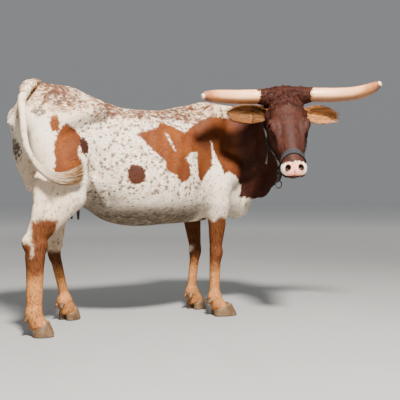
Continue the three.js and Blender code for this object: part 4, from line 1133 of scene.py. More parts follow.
def marks_of(p):
    """The values that the coat's colours are made from, at points of the animal."""
    x, y, z = p.T
    q = into_head(p)
    on_head = head_share(p)
    bag = udder(p)
    teat = falling(z, 640, 668) * falling(bag, 4, 14) * (np.abs(y) < 90)
    return {
        "patch": np.clip(patches_at(p, q, on_head), NO_MARK, 90),
        "tan": np.clip(tans_at(p), NO_MARK, 90),
        "dark": np.clip(darkness_at(p, q, on_head), 0, 1.25),
        "speck": specks_at(x, z) * (1 - on_head),
        "warm": warmth_at(x, z),
        "pale": falling(z, 250, 400) * (x < -380) * 0.85 + falling(z, 230, 400) * (x > 0) * 0.75,
        "pad": nose_pad(q) * on_head,
        "udder": falling(bag, 0, 16) * (np.abs(y) < 130),
        # The teats' dark skin, and painted shade inside the nostrils
        "teat": np.maximum(teat, nostril_shade(q) * on_head),
        "stain": stain_and_shade_at(p),
        "blotch": blotches_at(x, z),
        "under": dust_and_shade_at(p),
    }


def stain_and_shade_at(p):
    """1 where dung has stained the coat beside the root of the tail, and over the far buttock and inner
    thigh, where the darkening is partly stain and partly painted shade.
    """
    share = np.zeros(len(p))
    for centre, radii in STAINS_AND_SHADE:
        k = np.linalg.norm((p - centre) / radii, axis=1)
        share = np.maximum(share, falling(k, 0.2, 1.15))
    return share


def specks_at(x, z):
    """How thick the red-brown flecks lie: dense on rump and loin, sparse below."""
    rump = 0.9 * hump(x, -560, 190) * rising(z, 1120, 1230)
    loin = 0.95 * rising(z, 1060, 1180) * rising(x, -420, -330) * falling(x, 420, 520)
    barrel = 0.66 * rising(z, 640, 760) * rising(x, -520, -440) * falling(x, 250, 420)
    flank = 0.55 * rising(x, -560, -480) * falling(x, -430, -330) * rising(z, 760, 860)
    chest = 0.3 * rising(x, 250, 400)
    thigh = 0.16 + 0.12 * falling(z, 700, 800)
    return np.clip(np.maximum.reduce([rump, loin, barrel, flank, chest, thigh]), 0, 1)


def warmth_at(x, z):
    """Where the white coat turns to cream or straw."""
    top = rising(z, 1080, 1230) * (0.35 + 0.5 * hump(x, -620, 200))
    withers = rising(z, 1130, 1240) * rising(x, 60, 300) * 0.8
    belly = falling(z, 570, 700) * 0.55 * falling(x, 300, 420)
    thigh = 0.45 * falling(x, -600, -480) * falling(z, 860, 1060)
    return np.clip(np.maximum.reduce([top, withers, belly, thigh]), 0, 1)


def nostril_shade(q):
    """1 inside the nostrils, which are painted dark as shade in the holes."""
    inside = np.minimum(*[nostril_ball(sign, NOSTRIL_RADII)(q) for sign in (1, -1)])
    return falling(inside, 4, 9)


def nose_pad(q):
    """1 on the bare pink pad round the nostrils."""
    s = (q[:, 0] - 501) * 0.797 - (q[:, 2] - 6) * 0.604
    n = (q[:, 0] - 501) * 0.604 + (q[:, 2] - 6) * 0.797
    k = np.sqrt((s / 37) ** 4 + (q[:, 1] / 50) ** 4) ** 0.5
    return falling(k, 0.94, 1.08) * rising(n, -26, -16)


# Materials


class Graph:
    """A short way to write shader nodes. Inputs are sockets, numbers or colours."""

    def __init__(self, owner):
        owner.use_nodes = True
        self.owner, self.tree = owner, owner.node_tree

    def link(self, source, target):
        if isinstance(source, (int, float)):
            target.default_value = source
        elif isinstance(source, tuple):
            target.default_value = (*source, 1) if len(target.default_value) == 4 else source
        else:
            self.tree.links.new(source, target)

    def node(self, kind, inputs, **settings):
        """The outputs of a new node."""
        node = self.tree.nodes.new("ShaderNode" + kind)
        for name, value in settings.items():
            setattr(node, name, value)
        for socket, source in inputs.items():
            self.link(source, node.inputs[socket])
        return node.outputs

    def attribute(self, name, output="Vector"):
        return self.node("Attribute", {}, attribute_name=name)[output]

    def place(self, output="Object"):
        return self.node("TexCoord", {})[output]

    def split(self, vector):
        return tuple(self.node("SeparateXYZ", {0: vector}))

    def math(self, operation, a, b=0.0):
        return self.node("Math", {0: a, 1: b}, operation=operation)[0]

    def sum(self, *values):
        total = values[0]
        for value in values[1:]:
            total = self.math("ADD", total, value)
        return total

    def times(self, a, b):
        return self.math("MULTIPLY", a, b)

    def minus(self, a, b):
        return self.math("SUBTRACT", a, b)

    def larger(self, a, b):
        return self.math("MAXIMUM", a, b)

    def step(self, value, low, high, start=0.0, end=1.0):
        inputs = dict(enumerate((value, low, high, start, end)))
        return self.node("MapRange", inputs, interpolation_type="SMOOTHSTEP")[0]

    def mix(self, share, a, b, blend_type="MIX"):
        return self.node("Mix", {0: share, 6: a, 7: b}, data_type="RGBA", blend_type=blend_type)[2]

    def noise(self, vector, scale, detail=2.0, rough=0.5, distortion=0.0):
        inputs = {"Vector": vector, "Scale": scale, "Detail": detail, "Roughness": rough}
        return self.node("TexNoise", {**inputs, "Distortion": distortion})["Fac"]

    def cells(self, vector, scale):
        return self.node("TexVoronoi", {"Vector": vector, "Scale": scale})["Distance"]

    def scaled(self, vector, by):
        return self.node("VectorMath", {0: vector, 1: by}, operation="MULTIPLY")[0]

    def bump(self, height, strength, distance):
        return self.node("Bump", {"Height": height, "Strength": strength, "Distance": distance})[0]

    def finish(self, colour, roughness, normal=None, **fixed):
        """The material, once its surface has been given these values."""
        inputs = self.tree.nodes["Principled BSDF"].inputs
        self.link(colour, inputs["Base Color"])
        self.link(roughness, inputs["Roughness"])
        if normal is not None:
            self.link(normal, inputs["Normal"])
        for name, value in fixed.items():
            inputs[name.replace("_", " ")].default_value = value
        return self.owner


def material_graph(name):
    return Graph(bpy.data.materials.new(name))


# Values that the skin and every tuft carry for their colours, three to a vector
VECTORS = {
    "marks": ("patch", "tan", "dark"),
    "tones": ("speck", "warm", "pale"),
    "bare": ("pad", "udder", "teat"),
    "parts": ("ear", "inner", "switch"),
    # The dirt values also carry painted shade: under the belly, before the stifle and over the far buttock
    "dirt": ("stain", "blotch", "under"),
}


WHITE_HAIR = (0.83, 0.69, 0.53)
BRIGHT_HAIR = (0.92, 0.81, 0.66)
CREAM_HAIR = (0.60, 0.36, 0.17)
FOX_HAIR = (0.205, 0.056, 0.009)
RUST_HAIR = (0.11, 0.027, 0.007)
DARK_HAIR = (0.018, 0.0055, 0.004)
FACE_HAIR = (0.044, 0.0112, 0.006)
FLECK_RED = (0.060, 0.018, 0.011)
BLOTCH_TAN = (0.27, 0.10, 0.032)
# Grey-brown of the stains, also used as painted shade over the far buttock
STAIN_AND_SHADE_GREY = (0.040, 0.028, 0.015)
ROAN_HAIR = (0.50, 0.30, 0.19)
# Belly dust, dark enough to stand as painted shade under the belly and before the stifle
BELLY_DUST_AND_SHADE = (0.042, 0.029, 0.015)
FLECK_GREY = (0.065, 0.038, 0.030)
SHIN_FOX = (0.14, 0.050, 0.013)
SHIN_PALE = (0.53, 0.225, 0.07)
EAR_HAIR = (0.33, 0.125, 0.036)
EAR_HOLLOW = (0.64, 0.30, 0.11)
PAD_PINK = (0.90, 0.40, 0.27)
PAD_SPECK = (0.06, 0.027, 0.022)
UDDER_SKIN = (0.42, 0.27, 0.20)
UDDER_PALE = (0.52, 0.35, 0.26)
# Dark teat skin, also used as painted shade inside the nostrils
TEAT_SKIN_AND_NOSTRIL_SHADE = (0.035, 0.020, 0.016)
SWITCH_STRAW = (0.10, 0.044, 0.012)


# Flecks in three sizes: cells per metre, wobble, growth with thickness, start, softness, strength
FLECK_LAYERS = [
    (40, 0.16, 0.47, 0.15, 0.045, 1.0),
    (74, 0.16, 0.45, 0.13, 0.05, 0.75),
    (150, 0.2, 0.4, 0.16, 0.08, 0.45),
]


class Hide(Graph):
    """The hide's colours. The skin and every tuft of the coat read the same values."""

    def __init__(self, name):
        super().__init__(bpy.data.materials.new(name))
        comb = self.attribute("comb")
        self.root = self.attribute("root")
        self.broad = self.noise(self.root, 9, 3)
        self.ragged = self.noise(self.root, 60, 4, 0.6)
        self.streak = self.noise(comb, 210, 3, 0.6)
        self.hair = self.noise(comb, 620, 2, 0.6)
        for vector, names in VECTORS.items():
            for value, socket in zip(names, self.split(self.attribute(vector))):
                setattr(self, value, socket)


def off_middle(g, noise, reach):
    return g.times(g.minus(noise, 0.5), reach)


def fleck_layer(g, layer):
    cells, wobble, growth, start, soft, strength = layer
    patchy = g.step(g.noise(g.root, 20, 2), 0.3, 0.62, 0.5, 1.1)
    reach = g.sum(g.times(g.times(g.speck, patchy), growth), start)
    edge = g.sum(g.cells(g.root, cells), g.times(g.noise(g.root, 140, 2), wobble))
    return g.times(g.step(g.minus(reach, edge), -soft, soft), strength)


def flecked(g, white):
    """White hair with roundish flecks and a roan bloom."""
    large, small, fine = [fleck_layer(g, layer) for layer in FLECK_LAYERS]
    fleck = g.larger(large, g.larger(small, fine))
    fleck = g.times(fleck, g.step(g.speck, 0.02, 0.2))
    colour = g.mix(g.step(g.warm, 0.25, 0.55), FLECK_GREY, FLECK_RED)
    white = g.mix(g.times(fleck, 0.88), white, colour)
    bloom = g.step(g.noise(g.root, 24, 5, 0.7), 0.44, 0.66, 0.0, 0.62)
    return g.mix(g.times(bloom, g.speck), white, ROAN_HAIR)


def blotched(g, white):
    """White hair with the large ragged flecks of the rump."""
    cloud = g.noise(g.root, 44, 4, 0.62, 0.8)
    mark = g.step(g.sum(cloud, g.times(g.blotch, 0.24)), 0.66, 0.74)
    mark = g.times(mark, g.step(g.blotch, 0.05, 0.4))
    pale = g.step(g.sum(g.noise(g.root, 30, 2), g.times(g.blotch, 0.2)), 0.6, 0.76)
    white = g.mix(g.times(pale, 0.6), white, BLOTCH_TAN)
    return g.mix(g.times(mark, 0.85), white, FLECK_RED)


def soiled(g, white):
    """White hair with dust and painted shade under the belly and before the stifle, and with stains beside
    the tail and over the far buttock, the latter partly painted shade.
    """
    # Dust and painted shade under the belly
    dusty_and_shaded = g.times(g.under, g.step(g.ragged, 0.3, 0.7, 0.6, 0.95))
    white = g.mix(dusty_and_shaded, white, BELLY_DUST_AND_SHADE)
    # Stains, and painted shade over the far buttock
    smear_and_shade = g.sum(g.noise(g.root, 75, 3, 0.65), g.times(g.stain, 0.4))
    return g.mix(g.step(smear_and_shade, 0.74, 0.92, 0.0, 0.88), white, STAIN_AND_SHADE_GREY)


def white_coat(g):
    white = g.mix(g.step(g.streak, 0.35, 0.68), WHITE_HAIR, BRIGHT_HAIR)
    cloud = g.step(g.sum(g.ragged, g.times(g.broad, 0.6)), 0.45, 1.0)
    white = g.mix(g.times(g.warm, cloud), white, CREAM_HAIR)
    return soiled(g, blotched(g, flecked(g, white)))


def brown_coat(g):
    """Fox red on the body's patches, near black on neck and head, with lighter streaks there that are partly
    painted sheen.
    """
    rusty = g.sum(g.times(g.streak, 0.6), g.times(g.broad, 0.7))
    fox = g.mix(g.step(rusty, 0.5, 0.85), RUST_HAIR, FOX_HAIR)
    fox = g.mix(g.step(g.streak, 0.42, 0.3, 0.0, 0.6), fox, DARK_HAIR)
    deep = g.mix(g.step(g.streak, 0.3, 0.6), DARK_HAIR, FACE_HAIR)
    # Lighter rust streaks on the dark hair, partly hair colour and partly painted sheen
    copper_hair_and_sheen = g.step(g.sum(g.streak, g.times(g.broad, 0.25)), 0.66, 0.88)
    deep = g.mix(g.times(copper_hair_and_sheen, 0.8), deep, RUST_HAIR)
    return g.mix(g.step(g.sum(g.dark, g.times(g.streak, 1.1)), 0.72, 1.2), fox, deep)


def shin_coat(g):
    """Rust above, mottled with pale tan towards the feet."""
    upper = g.mix(g.step(g.streak, 0.38, 0.66), RUST_HAIR, SHIN_FOX)
    upper = g.mix(g.step(g.streak, 0.48, 0.34, 0.0, 0.75), upper, DARK_HAIR)
    shares = ((g.pale, 0.9), (g.ragged, 0.7), (g.broad, 0.6), (g.streak, 0.3))
    paleness = g.sum(*[g.times(value, share) for value, share in shares])
    shin = g.mix(g.step(paleness, 0.95, 1.6), upper, SHIN_PALE)
    grit = g.sum(g.noise(g.root, 120, 4, 0.7), g.times(g.broad, 0.3))
    grit = g.times(g.step(grit, 0.64, 0.78, 0.0, 0.8), g.step(g.pale, 0.1, 0.5))
    return g.mix(grit, shin, RUST_HAIR)


def patched(g):
    """White, brown and tan parted along ragged edges that follow the hair."""
    edge = g.sum(off_middle(g, g.ragged, 34.0), off_middle(g, g.streak, 26.0))
    colour = g.mix(g.step(g.sum(g.patch, edge), -4.0, 4.0), white_coat(g), brown_coat(g))
    soft_edge = g.sum(edge, off_middle(g, g.broad, 60.0))
    return g.mix(g.step(g.sum(g.tan, soft_edge), -14.0, 14.0), colour, shin_coat(g))


def haired(g, colour):
    """The body's colour, and that of the ears and of the tail's long hair."""
    outer = g.mix(g.step(g.streak, 0.3, 0.7), RUST_HAIR, EAR_HAIR)
    hollow = g.mix(g.step(g.streak, 0.35, 0.65), EAR_HOLLOW, EAR_HAIR)
    colour = g.mix(g.ear, colour, g.mix(g.inner, outer, hollow))
    straw = g.mix(g.step(g.streak, 0.42, 0.8), SWITCH_STRAW, CREAM_HAIR)
    return g.mix(g.switch, colour, straw)


def bare_skin(g, colour):
    """The freckled nose pad, the udder and its dark teats, and painted shade inside the nostrils, over the
    coat's colour.
    """
    freckle = g.step(g.cells(g.root, 120), 0.34, 0.2)
    freckle = g.times(freckle, g.step(g.noise(g.root, 45, 2), 0.5, 0.6))
    colour = g.mix(g.pad, colour, g.mix(freckle, PAD_PINK, PAD_SPECK))
    bag = g.mix(g.step(g.ragged, 0.4, 0.7), UDDER_SKIN, UDDER_PALE)
    return g.mix(g.teat, g.mix(g.udder, colour, bag), TEAT_SKIN_AND_NOSTRIL_SHADE)


def tuft_material():
    g = Hide("coat")
    colour = bare_skin(g, haired(g, patched(g)))
    shade = g.step(g.attribute("tuft", "Fac"), 0.0, 1.0, 0.74, 1.12)
    colour = g.mix(1.0, colour, shade, "MULTIPLY")
    return g.finish(colour, 0.7, g.bump(g.hair, 0.2, 0.0006), Specular_IOR_Level=0.12)


def skin_material():
    g = Hide("hide")
    colour = bare_skin(g, haired(g, patched(g)))
    bare = g.larger(g.pad, g.larger(g.udder, g.teat))
    # Painted shade in the partings between hairs, none on bare skin
    parting_shade = g.times(g.step(g.hair, 0.65, 0.35), g.minus(0.2, g.times(bare, 0.2)))
    colour = g.mix(parting_shade, colour, DARK_HAIR)
    height = g.sum(g.times(g.hair, 0.7), g.times(g.streak, 1.0))
    height = g.mix(bare, height, g.cells(g.root, 420))
    dry = g.mix(bare, (0.66,) * 3, (0.5,) * 3)
    wet = g.mix(g.ragged, (0.18,) * 3, (0.34,) * 3)
    return g.finish(colour, g.mix(g.pad, dry, wet), g.bump(height, 0.35, 0.0012), Specular_IOR_Level=0.2)


HORN_CREAM = (0.87, 0.47, 0.24)
HORN_ROSE = (0.78, 0.37, 0.175)
HORN_UNDER_SHADE = (0.17, 0.055, 0.014)
HORN_AMBER = (0.34, 0.115, 0.03)
HORN_BROWN = (0.12, 0.038, 0.014)
HORN_TIP = (0.70, 0.50, 0.32)
HORN_ROOT_RING = (0.36, 0.13, 0.05)
HORN_GRAIN = (0.42, 0.22, 0.12)


def horn_material():
    """Cream at the root, amber to brown towards the end, with a pale worn tip, and painted shade along the
    underside.
    """
    g = material_graph("horn")
    length, under, _ = g.split(g.attribute("horn"))
    grain = g.noise(g.attribute("grain"), 90, 4, 0.6)
    cloud = g.noise(g.place(), 22, 3)
    # Underneath, the tone leans to amber and the colour darkens, as painted shade along the horn's underside
    tone = g.sum(length, g.times(g.minus(cloud, 0.5), 0.16), g.times(under, 0.16))
    colour = g.mix(g.step(tone, 0.3, 0.7), HORN_CREAM, HORN_ROSE)
    colour = g.mix(g.step(under, 0.05, 0.62, 0.0, 0.85), colour, HORN_UNDER_SHADE)
    colour = g.mix(g.step(tone, 0.72, 0.93), colour, HORN_AMBER)
    colour = g.mix(g.step(tone, 0.9, 1.06), colour, HORN_BROWN)
    colour = g.mix(g.step(length, 0.972, 0.985), colour, HORN_TIP)
    # The dark ring round the root is darker still underneath, as painted shade
    root_ring = g.times(g.step(length, 0.14, 0.02), g.sum(0.2, g.times(under, 0.6)))
    colour = g.mix(root_ring, colour, HORN_ROOT_RING)
    colour = g.mix(g.times(g.step(grain, 0.52, 0.72), 0.25), colour, HORN_GRAIN)
    rings = g.math("SINE", g.times(g.sum(length, g.times(cloud, 0.01)), 260.0))
    height = g.sum(g.times(g.times(rings, g.step(length, 0.35, 0.05)), 0.25), g.times(grain, 0.5))
    rough = g.step(grain, 0.3, 0.8, 0.3, 0.48)
    return g.finish(colour, rough, g.bump(height, 0.3, 0.0012), Coat_Weight=0.15, Coat_Roughness=0.25)


HOOF_BROWN = (0.07, 0.035, 0.013)
HOOF_TAN = (0.155, 0.085, 0.035)
HOOF_GRAIN = (0.06, 0.035, 0.02)
HOOF_MUD = (0.07, 0.05, 0.03)


def hoof_material():
    g = material_graph("hoof")
    place = g.place()
    height = g.split(place)[2]
    grain = g.noise(g.scaled(place, (1.0, 1.0, 0.08)), 420, 3)
    cloud = g.noise(place, 30, 3)
    rings = g.math("SINE", g.sum(g.times(height, 900.0), g.times(cloud, 6.0)))
    colour = g.mix(g.step(cloud, 0.35, 0.65), HOOF_BROWN, HOOF_TAN)
    colour = g.mix(g.times(g.step(grain, 0.5, 0.75), 0.5), colour, HOOF_GRAIN)
    colour = g.mix(g.step(height, 0.012, 0.0), colour, HOOF_MUD)
    rough = g.step(grain, 0.3, 0.7, 0.42, 0.62)
    return g.finish(colour, rough, g.bump(g.sum(g.times(rings, 0.5), grain), 0.4, 0.0012))


PUPIL_SIZE = (0.62, 0.3)
PUPIL_BLACK = (0.004, 0.004, 0.006)
IRIS_BROWN = (0.045, 0.02, 0.01)
IRIS_RAYS = (0.11, 0.05, 0.022)
EYE_RIM = (0.20, 0.13, 0.11)


def eye_material():
    """A dark brown iris round a long level pupil, under a wet surface."""
    g = material_graph("eye")
    across, level, _ = g.split(g.attribute("gaze"))

    def out_by(wide, high):
        return g.math("SQRT", g.sum(g.math("POWER", wide, 2.0), g.math("POWER", high, 2.0)))

    pupil = out_by(g.times(across, 1 / PUPIL_SIZE[0]), g.times(level, 1 / PUPIL_SIZE[1]))
    iris = out_by(across, g.times(level, 1.12))
    rays = g.noise(g.place(), 900, 2)
    colour = g.mix(rays, IRIS_BROWN, IRIS_RAYS)
    colour = g.mix(g.step(pupil, 1.0, 0.8), colour, PUPIL_BLACK)
    colour = g.mix(g.step(iris, 0.86, 0.93), colour, EYE_RIM)
    return g.finish(colour, g.step(rays, 0.0, 1.0, 0.04, 0.1), Coat_Weight=1.0, Coat_Roughness=0.03)


ROPE_BLACK = (0.010, 0.010, 0.011)
ROPE_FIBRE = (0.052, 0.050, 0.050)
ROPE_DIRT = (0.03, 0.025, 0.018)
STRAP_BLACK = (0.012, 0.012, 0.014)
STRAP_RIB = (0.036, 0.036, 0.041)
STRAP_DIRT = (0.03, 0.022, 0.016)
STITCH_GREY = (0.13, 0.13, 0.135)
STITCH_ROW = 10.5
STEEL_BRIGHT = (0.075, 0.075, 0.08)
STEEL_WORN = (0.035, 0.03, 0.027)


def rope_material():
    g = material_graph("rope")
    place = g.place()
    fibre = g.noise(place, 1500, 3, 0.6)
    dirt = g.noise(place, 60, 3)
    colour = g.mix(g.step(fibre, 0.3, 0.7), ROPE_BLACK, ROPE_FIBRE)
    colour = g.mix(g.step(dirt, 0.45, 0.75, 0.0, 0.6), colour, ROPE_DIRT)
    rough = g.step(fibre, 0.2, 0.8, 0.75, 0.92)
    return g.finish(colour, rough, g.bump(fibre, 0.5, 0.0006), Specular_IOR_Level=0.15)


def webbing_material():
    """A grey woven strap: diagonal ribs, stitched edges and worn spots."""
    g = material_graph("webbing")
    run, across, _ = g.split(g.attribute("weave"))
    rib = g.math("SINE", g.times(g.sum(run, across), 2.0))
    cross = g.math("SINE", g.times(g.minus(run, across), 2.0))
    weave = g.larger(rib, cross)
    dirt = g.noise(g.place(), 55, 4, 0.6)
    colour = g.mix(g.step(weave, 0.1, 0.9), STRAP_BLACK, STRAP_RIB)
    colour = g.mix(g.step(dirt, 0.5, 0.8, 0.0, 0.5), colour, STRAP_DIRT)
    off_row = g.math("ABSOLUTE", g.minus(g.math("ABSOLUTE", across), STITCH_ROW))
    stitches = g.times(g.step(off_row, 0.8, 0.3), g.step(g.math("SINE", g.times(run, 1.4)), -0.1, 0.3))
    colour = g.mix(g.times(stitches, 0.5), colour, STITCH_GREY)
    height = g.sum(g.times(weave, 0.5), g.times(stitches, 0.8))
    rough = g.step(dirt, 0.3, 0.8, 0.7, 0.9)
    return g.finish(colour, rough, g.bump(height, 0.5, 0.0008), Specular_IOR_Level=0.15)


def steel_material():
    g = material_graph("steel")
    place = g.place()
    wear = g.noise(place, 240, 4, 0.6)
    scuff = g.noise(place, 1200, 2)
    colour = g.mix(g.step(wear, 0.42, 0.66), STEEL_BRIGHT, STEEL_WORN)
    rough = g.step(wear, 0.35, 0.7, 0.28, 0.55)
    return g.finish(colour, rough, g.bump(scuff, 0.15, 0.0004), Metallic=0.92)


FLOOR_NEAR = ((0.28, 0.28, 0.275), (0.31, 0.31, 0.305))
FLOOR_FAR = (0.92, 0.92, 0.915)


def floor_material():
    g = material_graph("floor")
    x, y, _ = g.split(g.place())
    away = g.math("SQRT", g.sum(g.times(x, x), g.times(y, y)))
    cloud = g.noise(g.place(), 1.5, 3)
    colour = g.mix(g.step(away, 3.5, 12.0), g.mix(cloud, *FLOOR_NEAR), FLOOR_FAR)
    return g.finish(colour, g.step(cloud, 0.2, 0.8, 0.8, 0.9))


# Skin object


class Surface:
    """Points of the skin with the values that colours and hair are made from."""

    def __init__(self, points, faces, lie, comb, **values):
        self.points, self.faces, self.lie, self.comb = points, faces, lie, comb
        self.values = {name: np.zeros(len(points)) for names in VECTORS.values() for name in names}
        self.values.update({name: np.full(len(points), value, float) for name, value in values.items()})

    def over_faces(self, name):
        return self.values[name][self.triangles].mean(1)

    def face_centres(self):
        return self.points[self.triangles].mean(1)


def joined(surfaces):
    points, faces = combined([(s.points, s.faces) for s in surfaces])
    lie, comb = (np.vstack([getattr(s, part) for s in surfaces]) for part in ("lie", "comb"))
    values = {name: np.concatenate([s.values[name] for s in surfaces]) for name in surfaces[0].values}
    return Surface(points, faces, lie, comb, **values)


def body_part():
    points, faces = skin_surface()
    return Surface(points, faces, lie_of(points), comb_of(points), **marks_of(points))


def tail_part():
    points, faces, lie, along_tail = tail_mesh()
    comb = points - on_tail(along_tail) + np.outer(along_tail * 900 * COMB_STRETCH, vec(0.5, 0.6, 0.6))
    switch = rising(along_tail, 0.60, 0.74)
    return Surface(points, faces, lie, comb, patch=NO_MARK, tan=NO_MARK, warm=0.25, speck=0.2, switch=switch)


def ear_part(sign):
    points, faces, lie, inner = ear_mesh(sign)
    root, out = ear_frame(sign)[:2]
    away = points - root
    comb = away - out * ((1 - COMB_STRETCH) * (away @ out))[:, None]
    return Surface(points, faces, lie, comb, patch=NO_MARK, tan=NO_MARK, ear=1, inner=inner)


def give_values(made, root, comb, values):
    set_vector(made, "root", root * MM)
    set_vector(made, "comb", comb * MM)
    for name, parts in VECTORS.items():
        set_vector(made, name, np.stack([values[part] for part in parts], 1))


# Coat: thin closed tufts that lie along the body


def fast_object(name, points, triangles, material, uv, normals):
    """A mesh of many small closed tufts, with the OFBake map and soft normals."""
    data = bpy.data.meshes.new(name)
    data.vertices.add(len(points))
    data.vertices.foreach_set("co", to_world(points).astype(np.float32).ravel())
    data.loops.add(triangles.size)
    data.loops.foreach_set("vertex_index", triangles.astype(np.int32).ravel())
    data.polygons.add(len(triangles))
    data.polygons.foreach_set("loop_start", np.arange(0, triangles.size, 3, dtype=np.int32))
    data.update(calc_edges=True)
    data.polygons.foreach_set("use_smooth", np.ones(len(triangles), bool))
    layer = data.uv_layers.new(name="OFBake")
    layer.data.foreach_set("uv", uv[triangles.ravel()].astype(np.float32).ravel())
    data.normals_split_custom_set_from_vertices(unit(normals).astype(np.float32))
    data.materials.append(material)
    return linked(name, data)


def triangles_of(faces):
    made = []
    for face in faces:
        made.append(face[:3])
        if len(face) == 4:
            made.append((face[0], face[2], face[3]))
    return np.array(made)


class Roots:
    """Places on the skin that hair grows from."""

    def __init__(self, surface, weight, count, stream):
        rng = np.random.default_rng(SEED + stream)
        triangles = surface.triangles
        a, b, c = (surface.points[triangles[:, k]] for k in range(3))
        area = np.linalg.norm(np.cross(b - a, c - a), axis=1) * weight
        run = np.cumsum(area)
        pick = (np.arange(count) + rng.random(count)) / count * run[-1]
        chosen = triangles[np.clip(np.searchsorted(run, pick), 0, len(run) - 1)]
        s, t = np.sqrt(rng.random(count)), rng.random(count)
        shares = np.stack([1 - s, s * (1 - t), s * t], 1)

        def at(values):
            spread = shares if values.ndim == 1 else shares[..., None]
            return (values[chosen] * spread).sum(1)

        self.count = count
        self.points = at(surface.points)
        self.normals = unit(at(surface.normals))
        self.lie = at(surface.lie)
        self.comb = at(surface.comb)
        self.values = {name: at(value) for name, value in surface.values.items()}
        self.rng = rng

    def directions(self, scatter):
        """The lie of each hair along the skin, and the direction across it."""
        lie = self.lie + self.rng.normal(0, scatter, self.lie.shape)
        lie = unit(lie - self.normals * (lie * self.normals).sum(1, keepdims=True))
        return lie, np.cross(self.normals, lie)


PATCH_SIZE = 0.003


def tuft_object(name, roots, length, width, lift, unwrap, material, scatter=0.16):
    """Flat tufts of four triangles each: two base corners, a raised ridge and a tip."""
    rng = roots.rng
    lie, side = roots.directions(scatter)
    n = roots.count
    length = (length * rng.uniform(0.75, 1.25, n))[:, None]
    width = (width * rng.uniform(0.8, 1.2, n))[:, None]
    lift = (lift * rng.uniform(0.6, 1.3, n))[:, None]
    bend = rng.normal(0, 0.1, (n, 1))
    base = roots.points - roots.normals * 0.8
    left, right = base + side * width / 2, base - side * width / 2
    ridge = roots.points + lie * length * 0.4 + roots.normals * lift * 0.8 + side * bend * length * 0.3
    tip = roots.points + lie * length + roots.normals * lift + side * bend * length
    points = np.stack([left, right, ridge, tip], 1).reshape(-1, 3)
    order = np.array([(0, 1, 2), (0, 2, 3), (2, 1, 3), (1, 0, 3)])
    triangles = (order[None] + 4 * np.arange(n)[:, None, None]).reshape(-1, 3)
    offsets = np.array([(-0.5, -0.5), (0.5, -0.5), (0, 0.1), (0, 0.5)]) * PATCH_SIZE
    uv = (unwrap(roots.points)[:, None] + offsets[None]).reshape(-1, 2)
    leaning = (side * 0.35, -side * 0.35, -lie * 0.1, lie * 0.2)
    normals = np.stack([roots.normals + lean for lean in leaning], 1).reshape(-1, 3)
    made = fast_object(name, points, triangles, material, uv, normals)
    give_values(made, *repeated(roots, 4))
    shade = np.clip(rng.normal(0.5, 0.2, (n, 1)) + np.array([[-0.12, -0.12, 0.05, 0.12]]), 0, 1)
    set_value(made, "tuft", shade.ravel())
    return made


def repeated(roots, times):
    values = {name: np.repeat(value, times) for name, value in roots.values.items()}
    return np.repeat(roots.points, times, 0), np.repeat(roots.comb, times, 0), values


STRAND_TAPER = (0.6, 1.0, 0.95, 0.8, 0.6, 0.4)


def strand_object(name, roots, spines, width, flat, unwrap, material):
    """Long three-sided locks that taper to a tip along their spines."""
    n, steps = spines.shape[:2]
    run = unit(np.gradient(spines, axis=1))
    across = unit(np.cross(run, roots.normals[:, None] + 0 * run))
    up = np.cross(across, run)
    rings = steps - 1
    taper = np.interp(np.linspace(0, 1, rings), np.linspace(0, 1, len(STRAND_TAPER)), STRAND_TAPER)
    size = np.broadcast_to(np.asarray(width, float), (n,))[:, None] * taper[None] / 2
    corners = np.array([(1, -0.4), (0, 1), (-1, -0.4)])
    reach = across[:, :rings, None] * corners[:, 0, None] + up[:, :rings, None] * corners[:, 1, None] * flat
    ring_points = spines[:, :rings, None] + reach * size[..., None, None]
    points = np.concatenate([ring_points.reshape(n, -1, 3), spines[:, -1:]], 1)
    per = rings * 3 + 1
    order = [(0, 1, 2)]
    for i in range(rings - 1):
        for j in range(3):
            k = (j + 1) % 3
            a, b, c, d = i * 3 + j, i * 3 + k, i * 3 + 3 + k, i * 3 + 3 + j
            order += [(a, c, b), (a, d, c)]
    top = (rings - 1) * 3
    order += [(top + j, per - 1, top + (j + 1) % 3) for j in range(3)]
    triangles = (np.array(order)[None] + per * np.arange(n)[:, None, None]).reshape(-1, 3)
    share = np.append(np.repeat(np.linspace(0, 1, rings), 3), 1)
    tilt = np.append(np.tile([0.5, 0, -0.5], rings), 0)
    uv = unwrap(roots.points)[:, None] + np.stack([tilt, share - 0.5], 1)[None] * PATCH_SIZE
    soft = roots.normals[:, None] * 0.55 + np.concatenate([reach.reshape(n, -1, 3), run[:, -1:]], 1)
    points, uv = points.reshape(-1, 3), uv.reshape(-1, 2)
    made = fast_object(name, points, triangles, material, uv, soft.reshape(-1, 3))
    give_values(made, *repeated(roots, per))
    shade = roots.rng.normal(0.45, 0.22, (n, 1)) + (share * 0.3 - 0.15)[None]
    set_value(made, "tuft", np.clip(shade, 0, 1).ravel())
    return made


# Unwraps of the skin's own shape, one for each coat piece


def turn_about(p, centre, up, out):
    """The angle round a core, from 0 to 1."""
    away = p - centre
    return np.arctan2(away @ unit(vec(*out)), away @ unit(vec(*up))) / (2 * math.pi) + 0.5


def in_square(u, v):
    return np.stack([np.clip(u, 0, 1), np.clip(v, 0, 1)], 1) * (1 - 4 * PATCH_SIZE) + 2 * PATCH_SIZE


def unwrap_trunk(p):
    centre = np.stack([p[:, 0], 0 * p[:, 1], 0 * p[:, 1] + 930], 1)
    angle = np.abs(turn_about(p, centre, (0, 0, 1), (0, 1, 0)) - 0.5) * 2
    return in_square((p[:, 0] + 830) / 1500, angle)


def unwrap_neck(p):
    start, end = vec(500, 20, 980), vec(650, -520, 1190)
    axis = unit(end - start)
    share = (p - start) @ axis / np.linalg.norm(end - start)
    centre = start + np.outer((p - start) @ axis, axis)
    return in_square(share * 0.8 + 0.15, turn_about(p, centre, (0, 0, 1), np.cross(axis, Z_AXIS)))


